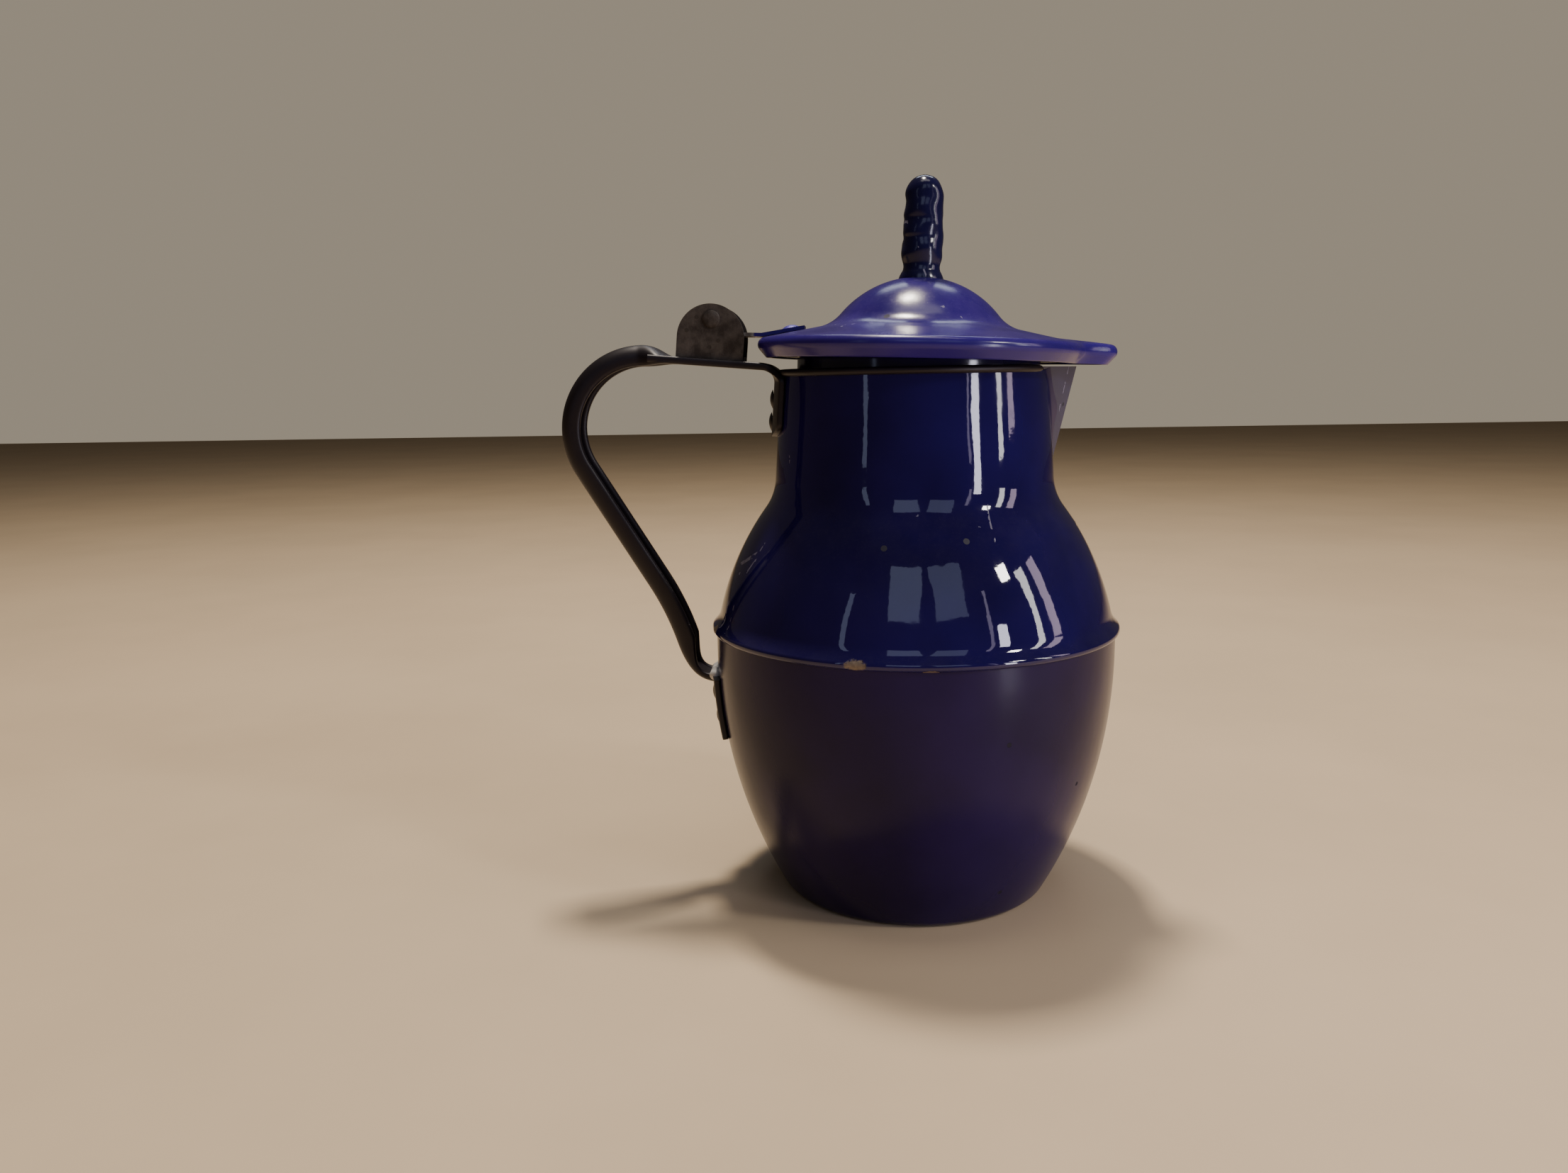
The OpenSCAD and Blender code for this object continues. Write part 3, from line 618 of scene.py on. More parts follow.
def shoulder_side(s, inset, count):
    """Half section from the neck's top down to the flare, moved in by inset."""
    shoulder, hollow = shoulder_centres(s)
    top = s.mouth_height - 0.4 * MM
    neck_x = s.neck_radius + 0.4 * MM * math.tan(NECK_TAPER) - inset / math.cos(NECK_TAPER)
    turn = math.degrees(math.atan2(hollow[1] - shoulder[1], hollow[0] - shoulder[0]))
    taper = math.degrees(NECK_TAPER)
    curve = arc(hollow, NECK_CURVE + inset, 180 + taper, 180 + turn, count // 2)
    flare_angle = math.degrees(math.asin((s.seam_height + 3.4 * MM - shoulder[1]) / SHOULDER_CURVE))
    return joined(
        line((neck_x, top), curve[0], count // 2),
        curve,
        arc(shoulder, SHOULDER_CURVE - inset, turn, flare_angle, count),
    )


def shoulder_profile(s):
    """Closed half section: outside down to the flare, round the seam's bead, and up inside.

    Also returns how many of its points lie outside, down to the end of the seam's bead."""
    outside = shoulder_side(s, 0.0, 70)
    inside = shoulder_side(s, s.sheet, 50)
    bead_radius = 1.05 * MM
    bead = np.array([s.belly_radius - 0.1 * MM, s.seam_height + 0.1 * MM])
    start = math.radians(50)
    bead_top = bead + bead_radius * np.array([math.cos(start), math.sin(start)])
    out_of_shoulder = outside[-1] + [0.35 * MM, -1.2 * MM]
    into_bead = bead_top + [-0.5 * MM, 0.55 * MM]
    flare = bezier([outside[-1], out_of_shoulder, into_bead, bead_top], 12)
    under = -math.degrees(math.acos((s.belly_radius - bead[0]) / bead_radius))
    roll = arc(bead, bead_radius, 50, under, 18)
    inner_foot = (s.belly_radius - 1.4 * MM, s.seam_height)
    ledge = line((s.belly_radius, s.seam_height), inner_foot, 4)
    whole = joined(outside, flare, roll, ledge, inside[::-1])
    return whole, len(joined(outside, flare, roll))


def lip_face(s, angle, z, inset):
    """Radius of the V's faces: the V's distance from the axis over the sine of the half angle
    plus the angle from the lip. Past the foot of that perpendicular it stays the same."""
    tip = s.neck_radius + s.lip_reach - (s.mouth_height + 0.4 * MM - z) * math.tan(LIP_LEAN)
    away = np.sqrt(angle**2 + 0.012**2)
    swing = np.minimum(LIP_HALF_ANGLE + away, math.pi / 2)
    return (tip * math.sin(LIP_HALF_ANGLE) - inset) / np.sin(swing)


def lip_angles():
    """Angles round the jug from the lip, closer together across the lip."""
    near = np.linspace(-LIP_SPREAD, LIP_SPREAD, LIP_COLUMNS, endpoint=False)
    far = np.linspace(LIP_SPREAD, 2 * math.pi - LIP_SPREAD, BACK_COLUMNS, endpoint=False)
    return np.concatenate([near, far])


def signed(angle):
    """The same angle between minus and plus half a turn."""
    return (angle + math.pi) % (2 * math.pi) - math.pi


class JUG_OT_shoulder(bpy.types.Operator):
    """Shoulder, seam, neck and the V-shaped lip drawn out of it.

    The round section's radius gives way to the V's wherever the V reaches further, with a small
    rounding between them. The V fades in up the neck, and its top edge is drawn up a little.
    """

    bl_idname = "jug.shoulder"
    bl_label = "Shoulder and lip"

    def execute(self, context):
        s, finish = context.scene.jug_sizes, context.scene.jug_finish
        profile, outer_rows = shoulder_profile(s)
        angles = lip_angles()
        t = signed(angles)[None, :]
        r, z = profile[:, :1], profile[:, 1:]
        under = 0.04 * MM
        inset = np.where(np.arange(len(profile)) < outer_rows, under, LIP_SHEET - under)[:, None]
        face = lip_face(s, t, z, inset)
        high = smoothstep(z, 84 * MM, 92 * MM)
        radius = np.where(high > 0, soft_max(r, r + high * (face - r), 0.18 * MM), r)
        radius = np.where(np.abs(t) < 0.8, radius, r + 0 * t)
        lift = smoothstep(face - r, -0.1 * MM, 1.0 * MM) * smoothstep(z, 108 * MM, 117.4 * MM)
        points = np.stack([radius * np.cos(t), radius * np.sin(t), z + 0.75 * MM * lift], -1)
        piece = surface("shoulder_shell", points, along=True, crease=50)
        chips = (
            ((-0.0135, -0.0438, 0.0612), (0.45, 0.6, 1.0), 0.0011),
            ((0.0012, -0.0455, 0.0600), (0.4, 0.6, 1.2), 0.0007),
            ((-0.0445, -0.0110, 0.0615), (0.6, 0.5, 1.0), 0.0009),
        )
        glaze = enamel("shoulder_enamel", finish.shoulder, roughness=0.03, dips=0.9, peel=0.05,
                       runs=0.3, dust=0.10, pits=0.10, scuffs=0.6, chips=chips)
        ready(piece, POT, "shoulder_enamel", glaze, "upper_body")
        lip_glaze(finish)
        return {"FINISHED"}


def lip_glaze(finish):
    """Greyer glaze on the lip's own sheets, which stand a hair outside the shell's lip."""
    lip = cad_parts["pouring_lip"]
    material = enamel("lip_enamel", finish.lip, roughness=0.16, dust=0.2, pits=0.5, scuffs=0.55,
                      chips=(((0.0335, -0.0030, 0.1085), (1.0, 0.7, 0.35), 0.0011),))
    lip.data.materials.clear()
    lip.data.materials.append(material)


class JUG_OT_rim_bead(bpy.types.Operator):
    """Black rolled bead round the mouth, open where the lip is.

    A tube along a circle: its radius swells by slow sines and closes to nothing at both ends.
    """

    bl_idname = "jug.rim_bead"
    bl_label = "Rim bead"

    def execute(self, context):
        s, finish = context.scene.jug_sizes, context.scene.jug_finish
        start = BEAD_START
        t = np.linspace(start, 2 * math.pi - start, 300)[:, None]
        section = full_turn(20)[None, :]
        swell = s.bead_radius * (1 + 0.03 * np.sin(9 * t) * np.sin(4 * t + 1))
        ends = np.sqrt(np.clip(1 - ((t - math.pi) / (math.pi - start)) ** 60, 0.0, 1.0))
        tube = np.minimum(swell, s.bead_radius) * ends
        radius = s.neck_radius + 0.25 * MM + tube * np.cos(section)
        z = s.mouth_height + tube * np.sin(section)
        grid = np.stack([radius * np.cos(t), radius * np.sin(t), z], -1)
        piece = surface("rim_roll", grid, poles=(True, True))
        ready(piece, POT, "black_enamel", black_enamel(finish), "rim_bead")
        return {"FINISHED"}


def black_enamel(finish):
    """The black enamel, made once and shared by the handle, the rim bead and their rivets."""
    found = bpy.data.materials.get("black_enamel")
    if found:
        return found
    return enamel("black_enamel", finish.black, roughness=0.05, dips=1.4, peel=0.10, runs=0.2,
                  wave=0.00024, dust=0.02, pits=0.2, scuffs=0.62, shift=1.8, ior=1.34)


# ---- Handle ----

PIN = np.array([-44.2, 129.7]) * MM
BEND_CENTRE = np.array([-60.5, 105.65]) * MM
BEND_RADIUS = 18.9 * MM
REVERSE_RADIUS = 61.6 * MM
HEEL = np.array([-54.6, 56.7]) * MM
HEEL_ANGLE = 18
LEDGE_HEIGHT = 49.6 * MM
STRAP_METAL = 1.6 * MM
STRAP_ROUND = 3.2 * MM
SEAT_TOP = -8.56 * MM
SEAT_MIDDLE = -9.4 * MM
SEAT_UNDER = -10.24 * MM
PLATE_DROP = 13.9 * MM
FOOT_HEIGHT = 15 * MM
FOOT_HALF_WIDTH = 10 * MM
BRAZE_RADIUS = 1.9 * MM


def seat_point(along, above):
    """Place in the plane of symmetry given in the hinge's frame, which falls 5 degrees."""
    fall = math.radians(5)
    return PIN + [
        along * math.cos(fall) + above * math.sin(fall),
        -along * math.sin(fall) + above * math.cos(fall),
    ]


def strap_edges(s):
    """Crown curve and lip curve of the strap, point for point, from the hinge to the ledge.

    The straight grip is tangent to both bends, whose centres lie on opposite sides of it."""
    lean = math.radians(HEEL_ANGLE)
    reverse = HEEL - REVERSE_RADIUS * np.array([math.cos(lean), math.sin(lean)])
    apart = reverse - BEND_CENTRE
    both = BEND_RADIUS + REVERSE_RADIUS
    grip = math.sqrt(apart @ apart - both**2)
    slope = -math.degrees(math.atan2(apart[1], apart[0]) + math.atan2(both, grip))
    side = bowl_radius(s, LEDGE_HEIGHT) - 0.4 * MM

    def edge(sink, seat, heel_curve):
        bend = arc(BEND_CENTRE, BEND_RADIUS - sink, 90, 270 - slope, 90)
        back = arc(reverse, REVERSE_RADIUS + sink, 90 - slope, HEEL_ANGLE, 30)
        flat = [seat_point(-8.6 * MM, seat), seat_point(-10.6 * MM, seat),
                bend[0] + [3.4 * MM, 0.0], bend[0]]
        return np.vstack([
            bezier(flat, 16)[:-1],
            bend,
            line(bend[-1], back[0], 42)[1:-1],
            back,
            bezier([back[-1]] + heel_curve, 44)[1:],
        ])

    crown_heel = [
        HEEL + [1.9 * MM, -5.6 * MM], HEEL + [4.3 * MM, -9.4 * MM],
        np.array([-side, LEDGE_HEIGHT - 2.5 * MM]),
    ]
    lips_heel = [
        np.array([-49.8, 53.0]) * MM, np.array([-50.9, 49.3]) * MM,
        np.array([-side, LEDGE_HEIGHT - 0.02 * MM]),
    ]
    return edge(0.0, SEAT_TOP, crown_heel), edge(s.strap_depth, SEAT_UNDER, lips_heel)


def channel_section(s):
    """Outline of the channel as (depth below the crown, across): shoulders are quarter circles,
    the two lips end in half circles, and the inside is the outside moved in by the metal."""
    w, d, t, r = s.strap_width / 2, s.strap_depth, STRAP_METAL, STRAP_ROUND
    tip = t / 2

    def quarter(radius, start, end):
        phi = np.radians(np.linspace(start, end, 12))
        return np.column_stack([r - radius * np.sin(phi), w - r + radius * np.cos(phi)])

    half = np.vstack([
        line((0.0, 0.0), (0.0, w - r), 6)[:-1],
        quarter(r, 90, 0),
        line((r, w), (d - tip, w), 4)[1:-1],
        np.column_stack([
            d - tip + tip * np.sin(np.linspace(0, math.pi, 9)),
            w - tip + tip * np.cos(np.linspace(0, math.pi, 9)),
        ]),
        line((d - tip, w - t), (r, w - t), 4)[1:-1],
        quarter(r - t, 0, 90),
        line((t, w - r), (t, 0.0), 6)[1:],
    ])
    mirror = half[1:-1][::-1] * [1, -1]
    return np.vstack([half, mirror])


def strap_grid(s):
    """Points crown + share x (lips - crown) in the plane of symmetry, moved across by the section.

    Towards the ledge the channel's floor rises, so the strap closes to a solid step, and towards
    the hinge the section is drawn out to the seat's width."""
    crown, lips = strap_edges(s)
    section = channel_section(s)
    row = np.linspace(0, 1, len(crown))[:, None]
    depth, across = section[:, 0][None, :], section[:, 1][None, :]
    inside = np.abs(across) < s.strap_width / 2 - STRAP_METAL + 1e-6
    inner = inside & (depth >= STRAP_METAL - 1e-6)
    deep = s.strap_depth - 0.8 * MM
    sink = np.clip((deep - depth) / (deep - STRAP_METAL), 0, 1)
    rise = smoothstep(row, 0.86, 0.95) * 2.3 * MM * sink * inner
    share = (depth + rise) / s.strap_depth
    plane = crown[:, None, :] + share[..., None] * (lips - crown)[:, None, :]
    flat = smoothstep(crown[:, :1], -61.5 * MM, -56.0 * MM) * (crown[:, 1:] > 110 * MM)
    drawn = 1 + (s.seat_width / s.strap_width - 1) * flat
    y = across * drawn * (1 + 0.006 * np.sin(row * 23.0) * np.cos(row * 61.0))
    return capped(np.stack([plane[..., 0], y, plane[..., 1]], -1))


def ribbon(name, middle, half_width, thickness, wrap, wrap_radius, edge):
    """Flat strip with rounded edges along a curve in the plane of symmetry.

    Each section is a rounded rectangle: corner arcs of radius edge, and straights between them.
    Its points stand on the curve's normal, and bend round the jug by r - sqrt(r^2 - y^2), where r
    is wrap_radius.
    """
    step = np.gradient(middle, axis=0)
    step /= np.linalg.norm(step, axis=1)[:, None]
    normal = np.column_stack([-step[:, 1], step[:, 0]])
    phi = np.linspace(0, math.pi / 2, 6)
    flat = np.linspace(1, -1, 15)[1:-1]
    ones, row, none = np.ones(6), np.ones(13), 0 * flat
    side_x = np.concatenate([ones, flat, -np.ones(12), -flat, ones])
    side_z = np.concatenate([ones, row, ones, -ones, -row, -ones])
    cosine, sine = np.cos(phi), np.sin(phi)
    round_x = np.concatenate([cosine, none, -sine, -cosine, none, sine])
    round_z = np.concatenate([sine, 1 + none, cosine, -sine, -1 + none, -cosine])
    y = (half_width[:, None] - edge) * side_x + edge * round_x
    lift = (thickness[:, None] / 2 - edge) * side_z + edge * round_z
    bent = wrap[:, None] * (wrap_radius - np.sqrt(np.clip(wrap_radius**2 - y**2, 0, None)))
    x = middle[:, :1] + normal[:, :1] * lift + bent
    z = middle[:, 1:] + normal[:, 1:] * lift
    return surface(name, capped(np.stack([x, y, z], -1)), poles=(True, True))


class JUG_OT_handle(bpy.types.Operator):
    """Channel strap, the flat under the hinge with its neck plate, the foot plate and the braze."""

    bl_idname = "jug.handle"
    bl_label = "Handle"

    def execute(self, context):
        s, finish = context.scene.jug_sizes, context.scene.jug_finish
        black = black_enamel(finish)
        strap = surface("handle_strap", strap_grid(s), poles=(True, True), crease=60)
        ready(strap, POT, "black_enamel", black, "handle")
        self.neck_plate(s, black)
        self.foot_plate(s, black)
        self.braze(s)
        return {"FINISHED"}

    def neck_plate(self, s, black):
        """Flat under the hinge, turned down on the neck and widened there to a plate."""
        neck_low = s.mouth_height - PLATE_DROP
        over = 0.7 * MM

        def plate_x(z):
            return -(s.neck_radius + (s.mouth_height - z) * math.tan(NECK_TAPER) + over)

        last = seat_point(11.6 * MM, SEAT_MIDDLE)
        plate_top = 115.6 * MM
        low_start = np.array([plate_x(plate_top), plate_top])
        turn = [last, last + [2.4 * MM, -0.2 * MM], low_start + [0.1 * MM, 1.9 * MM], low_start]
        path = joined(
            line(seat_point(-13.4 * MM, SEAT_MIDDLE), last, 30),
            bezier(turn, 20),
            line(low_start, (plate_x(neck_low), neck_low), 30),
        )
        run = np.linspace(0, 1, len(path))
        widen = smoothstep(run, 0.42, 0.62)
        half_width = (s.seat_width / 2 + 3 * MM * widen) * rounded_end(run, 0.9, 0.1)
        plate = ribbon("neck_plate", path, half_width, (1.6 - 0.2 * widen) * MM,
                       widen, s.neck_radius + 1.7 * MM, edge=0.5 * MM)
        ready(plate, POT, "black_enamel", black)

    def foot_plate(self, s, black):
        """Plate on the bowl's side below the ledge."""
        radius, centre = bowl_curve(s)
        low = math.degrees(math.asin((LEDGE_HEIGHT - FOOT_HEIGHT - centre[1]) / radius))
        high = math.degrees(math.asin((LEDGE_HEIGHT - centre[1]) / radius))
        path = arc(centre, radius + 0.7 * MM, high, low, 60) * [-1, 1]
        run = np.linspace(0, 1, len(path))
        half_width = FOOT_HALF_WIDTH * rounded_end(run, 0.88, 0.12)
        foot = ribbon("foot_plate", path, half_width, 1.4 * MM + 0 * run,
                      1 + 0 * run, s.belly_radius + 1 * MM, edge=0.5 * MM)
        ready(foot, POT, "black_enamel", black)

    def braze(self, s):
        """Tube across the corner of ledge and bowl: its radius swells and shrinks along y."""
        y = np.linspace(-1, 1, 90)[:, None]
        phi = full_turn(28)[None, :]
        lumps = 0.80 + 0.10 * np.sin(7.0 * y + 0.6) + 0.06 * np.sin(17.0 * y + 3 * np.cos(phi))
        radius = BRAZE_RADIUS * np.clip(lumps, 0, 1) * np.clip(1 - np.abs(y) ** 7, 0, 1) ** 0.5
        x = -bowl_radius(s, LEDGE_HEIGHT) - 0.35 * MM + radius * np.cos(phi)
        z = LEDGE_HEIGHT + 0.9 * radius * np.sin(phi)
        across = y * (s.strap_width / 2 + 2 * MM) + 0 * phi
        piece = surface("braze_fillet", np.stack([x, across, z], -1), poles=(True, True), crease=80)
        metal = steel("braze_metal", (0.52, 0.50, 0.49), (0.16, 0.14, 0.13), roughness=0.5,
                      stain=0.60, metal=0.3, relief=0.0002)
        ready(piece, POT, "braze", metal, "foot_braze")


# ---- Lid ----

LID_TILT = math.radians(2.2)
LID_PLACE = np.array([1.0, 0.0, 120.0]) * MM
FLANGE_SLOPE = math.radians(12)
RIM_ROUND = 1.6 * MM
RIM_MIDDLE = 2.75 * MM
SKIRT_LEAN = 42
DOME_CURVE = 22.5 * MM
HOLLOW_CURVE = 9 * MM
LID_SHEET = 0.9 * MM
BEAK_ROUND = 6 * MM
BEAK_REACH = 7.9 * MM
BEAK_SIDE = math.radians(60)


def in_lid(points):
    """Turns points from the lid's own level frame into place: tilt about Y, then move."""
    x, y, z = points[..., 0], points[..., 1], points[..., 2]
    c, q = math.cos(LID_TILT), math.sin(LID_TILT)
    return np.stack([x * c + z * q, y, -x * q + z * c], -1) + LID_PLACE


def lid_plan(s, angles):
    """Outer radius round the lid: its circle, or the beak where that reaches further.

    The beak is a round nose with two straight sides that touch it, and each side's radius is its
    distance from the axis over the cosine of the angle from its normal."""
    away = np.abs(signed(angles))
    centre = s.lid_radius + BEAK_REACH - BEAK_ROUND
    normal = BEAK_SIDE
    nose_end = math.atan2(BEAK_ROUND * math.sin(normal), centre + BEAK_ROUND * math.cos(normal))
    held = np.minimum(away, nose_end)
    chord = np.clip(BEAK_ROUND**2 - (centre * np.sin(held)) ** 2, 0, None)
    nose = centre * np.cos(held) + np.sqrt(chord)
    side = (centre * math.cos(normal) + BEAK_ROUND) / np.cos(np.minimum(away, 1.0) - normal)
    beak = np.where(away < nose_end, nose, side)
    blend = 1.6 * MM * (1 - smoothstep(beak - s.lid_radius, 0.5 * MM, 5 * MM))
    root = soft_max(beak, s.lid_radius + 0 * away, blend)
    fade = smoothstep(away, 0.62, 0.5)
    return s.lid_radius + (root - s.lid_radius) * np.where(away < 0.62, fade, 0.0)


def lid_profile(s):
    """Closed half section: dome, hollow, flange, rim and skirt outside, and the same inside."""
    rim = np.array([s.lid_radius - RIM_ROUND, RIM_MIDDLE])
    dome = np.array([0.0, s.dome_height - DOME_CURVE])
    out = np.array([math.sin(FLANGE_SLOPE), math.cos(FLANGE_SLOPE)])
    down = np.array([math.cos(FLANGE_SLOPE), -math.sin(FLANGE_SLOPE)])
    flange = rim + RIM_ROUND * out
    start = flange + HOLLOW_CURVE * out - dome
    half = start @ down
    left = start @ start - (DOME_CURVE + HOLLOW_CURVE) ** 2
    hollow = flange + HOLLOW_CURVE * out + (-half + math.sqrt(half**2 - left)) * down
    edge = math.degrees(math.atan2(hollow[1] - dome[1], hollow[0] - dome[0]))
    slope = math.degrees(FLANGE_SLOPE)

    def side(inset, count):
        bowl = arc(hollow, HOLLOW_CURVE + inset, 180 + edge, 270 - slope, count)
        roll = arc(rim, RIM_ROUND - inset, 90 - slope, -SKIRT_LEAN, count // 2)
        foot = (roll[-1][0] - roll[-1][1] * math.tan(math.radians(SKIRT_LEAN)), 0.0)
        return joined(
            arc(dome, DOME_CURVE - inset, 90, edge, count),
            bowl,
            line(bowl[-1], roll[0], count // 2),
            roll,
            line(roll[-1], foot, 8),
        )

    return joined(side(0.0, 56), side(LID_SHEET, 40)[::-1])


class JUG_OT_lid(bpy.types.Operator):
    """Domed lid with its beak, and the collar inside it.

    The section is turned round the axis, and its outer part is moved out to the lid's plan.
    """

    bl_idname = "jug.lid"
    bl_label = "Lid"

    def execute(self, context):
        s, finish = context.scene.jug_sizes, context.scene.jug_finish
        profile = lid_profile(s)
        ends = (-0.7, -0.12, 0.12, 0.7, 2 * math.pi - 0.7)
        angles = np.concatenate([
            np.linspace(start, end, count, endpoint=False)
            for start, end, count in zip(ends, ends[1:], (50, 70, 50, BACK_COLUMNS))
        ])
        r, z = profile[:, :1], profile[:, 1:]
        reach = lid_plan(s, angles)[None, :] - s.lid_radius
        share = smoothstep(r, 27.5 * MM, s.lid_radius - 1.2 * MM)
        share = np.where(z < RIM_MIDDLE, 1.0, share)
        radius = r + reach * share
        grid = np.stack([radius * np.cos(angles), radius * np.sin(angles), z + 0 * radius], -1)
        piece = surface("lid_shell", in_lid(grid), poles=(True, True), crease=50)
        glaze = enamel("lid_enamel", finish.lid, roughness=0.20, peel=0.10, runs=0.0,
                       dust=0.16, dust_colour=(0.20, 0.14, 0.36), pits=0.35,
                       chips=(((0.0400, -0.0100, 0.1228), (1, 1, 1.5), 0.0006),),
                       shift=1.35, ior=1.42)
        ready(piece, LID, "lid_enamel", glaze, "lid")
        self.collar(s, finish)
        return {"FINISHED"}

    def collar(self, s, finish):
        """Ring of bent sheet: a wall down into the mouth and a shelf out under the lid."""
        collar_r, wall = s.neck_radius - s.sheet - 1.7 * MM, 0.8 * MM
        low, shelf = -4.5 * MM, 0.3 * MM
        shelf_r = s.lid_radius - 5.05 * MM
        soft = 0.18 * MM
        section = np.array([
            [collar_r - wall, low], [collar_r, low], [collar_r, shelf - soft],
            [collar_r + soft, shelf], [shelf_r, shelf], [shelf_r + 0.7 * MM, shelf + wall],
            [collar_r - wall + soft, shelf + wall], [collar_r - wall, shelf + wall - soft],
        ])
        after = np.roll(section, -1, axis=0)
        ring = np.vstack([line(start, end, 5)[:-1] for start, end in zip(section, after)])
        grid = in_lid(turned(ring, full_turn(240)))
        collar = surface("lid_collar_ring", grid, along=True, crease=30)
        inside = enamel("collar_enamel", finish.shoulder, roughness=0.12, dust=0.0, pits=0.3)
        ready(collar, LID, "collar_enamel", inside, "lid_collar")


# Rings of the knob in millimetres: how far each stands out, its height and its spread.
KNOB_RINGS = ((0.10, 5.6, 1.1), (-0.24, 8.4, 0.8), (-0.22, 12.4, 0.75), (-0.13, 16.4, 0.9))
TIP_START = 17.2 * MM


class JUG_OT_knob(bpy.types.Operator):
    """Tall finger knob with soft hand-shaped rings.

    Its radius is the shaft's plus a bell curve for each ring, deeper on the handle's side, times
    slow lumps round and up it, and closes at the top by a superellipse of power 2.3.
    """

    bl_idname = "jug.knob"
    bl_label = "Knob"

    def execute(self, context):
        s, finish = context.scene.jug_sizes, context.scene.jug_finish
        foot = s.dome_height - 0.35 * MM
        top = s.knob_height
        tip_rows = 0.93 + 0.07 * np.sin(np.linspace(0.04, math.pi / 2, 30))
        height = np.concatenate([np.linspace(0, 0.93, 120), tip_rows])
        h = height * top
        r0 = s.knob_radius
        flare = 0.5 * MM * (1 - smoothstep(h, 0, 1.8 * MM))
        waist = -0.45 * MM * np.exp(-(((h - 2.6 * MM) / (1.5 * MM)) ** 2))
        rings = sum(
            size * MM * np.exp(-(((h - level * MM) / (spread * MM)) ** 2))
            for size, level, spread in KNOB_RINGS
        )
        shaft = r0 - 0.1 * MM - 0.35 * MM * smoothstep(h, 6 * MM, 19 * MM) + flare + waist
        late = np.clip(h - TIP_START, 0, None) / (top - TIP_START)
        round_top = np.sqrt(np.clip(1 - late**2.3, 0, 1))
        angles = full_turn(160)[None, :]
        three = 0.020 * np.sin(3 * angles + 900 * h[:, None])
        lumps = 1 + three * smoothstep(h, 2 * MM, 8 * MM)[:, None]
        two = 0.015 * np.sin(2 * angles - 1400 * h[:, None] + 1)
        lumps = lumps + two * (h < top)[:, None]
        worn = rings[:, None] * (0.62 - 0.38 * np.cos(angles))
        radius = np.minimum((shaft[:, None] + worn) * round_top[:, None] * lumps, r0 + 0.5 * MM)
        z = (foot + h)[:, None] + 0 * angles
        bed = DOME_CURVE - np.sqrt(DOME_CURVE**2 - np.clip(radius, 0, DOME_CURVE) ** 2)
        z = z - bed * np.clip(1 - h / (1.2 * MM), 0, 1)[:, None]
        grid = np.stack([radius * np.cos(angles), radius * np.sin(angles), z], -1)
        base = np.repeat([[[0.0, 0.0, s.dome_height - 0.02 * MM]]], grid.shape[1], axis=1)
        tip = np.repeat([[[0.0, 0.0, foot + top]]], grid.shape[1], axis=1)
        whole = in_lid(np.concatenate([base, grid, tip]))
        piece = surface("knob_body", whole, poles=(True, True), crease=60)
        glaze = enamel("knob_enamel", finish.knob, roughness=0.16, dips=1.2, peel=0.2, runs=0.5,
                       wave=0.00020, ior=1.4, dust=0.22, dust_colour=(0.10, 0.11, 0.15),
                       pits=0.3, scuffs=0.5, shift=2.0)
        ready(piece, LID, "knob_enamel", glaze, "knob")
        return {"FINISHED"}


class JUG_OT_fittings(bpy.types.Operator):
    """Finishes of the metal parts that are shown as made: hinge, rivets, stud and washer."""

    bl_idname = "jug.fittings"
    bl_label = "Hinge and rivets"

    def execute(self, context):
        finish = context.scene.jug_finish
        hinge = steel("bare_steel", finish.hinge, (0.020, 0.013, 0.010), roughness=0.5,
                      stain=0.46, metal=0.6, brush=(1.0, 1.0, 0.15))
        stud = steel("bright_steel", finish.stud, (0.12, 0.09, 0.07), roughness=0.35,
                     stain=0.62, metal=1.0)
        black = black_enamel(finish)
        lid = bpy.data.materials["lid_enamel"]
        leaf = self.leaf_finish(finish)
        finishes = {
            "neck_rivets": black, "foot_rivets": black, "leaf_rivets": lid, "hinge_saddle": hinge,
            "saddle_rivets": hinge, "hinge_pin": hinge, "lid_leaf": leaf, "knob_stud": stud,
            "knob_washer": stud,
        }
        for node, material in finishes.items():
            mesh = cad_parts[node].data
            mesh.materials.clear()
            mesh.materials.append(material)
        return {"FINISHED"}

    def leaf_finish(self, finish):
        """Bare steel by the pin and the lid's enamel where the leaf lies on the lid."""
        leaf = steel("leaf_steel", (0.30, 0.29, 0.29), (0.05, 0.04, 0.035), roughness=0.4)
        tree, shader = leaf.node_tree, leaf.node_tree.nodes["Principled BSDF"]
        vector = add(tree, "ShaderNodeTexCoord").outputs["Object"]
        along = add(tree, "ShaderNodeSeparateXYZ", values={0: vector}).outputs[0]
        bent = plus(tree, along, times(tree, noise(tree, vector, 400.0), 0.0008))
        glazed = ranged(tree, bent, -0.0350, -0.0345)
        bare = shader.inputs["Base Color"].links[0].from_socket
        tree.links.new(blended(tree, glazed, bare, rgba(finish.lid)), shader.inputs["Base Color"])
        for name, value in (("Metallic", 0.0), ("Roughness", 0.2)):
            bare = shader.inputs[name].links[0].from_socket
            mixed = add(tree, "ShaderNodeMix", values={0: glazed, 2: bare, 3: value})
            tree.links.new(mixed.outputs[0], shader.inputs[name])
        return leaf


# ---- Stage ----


AIM = (0.0, 0.0, 0.07)
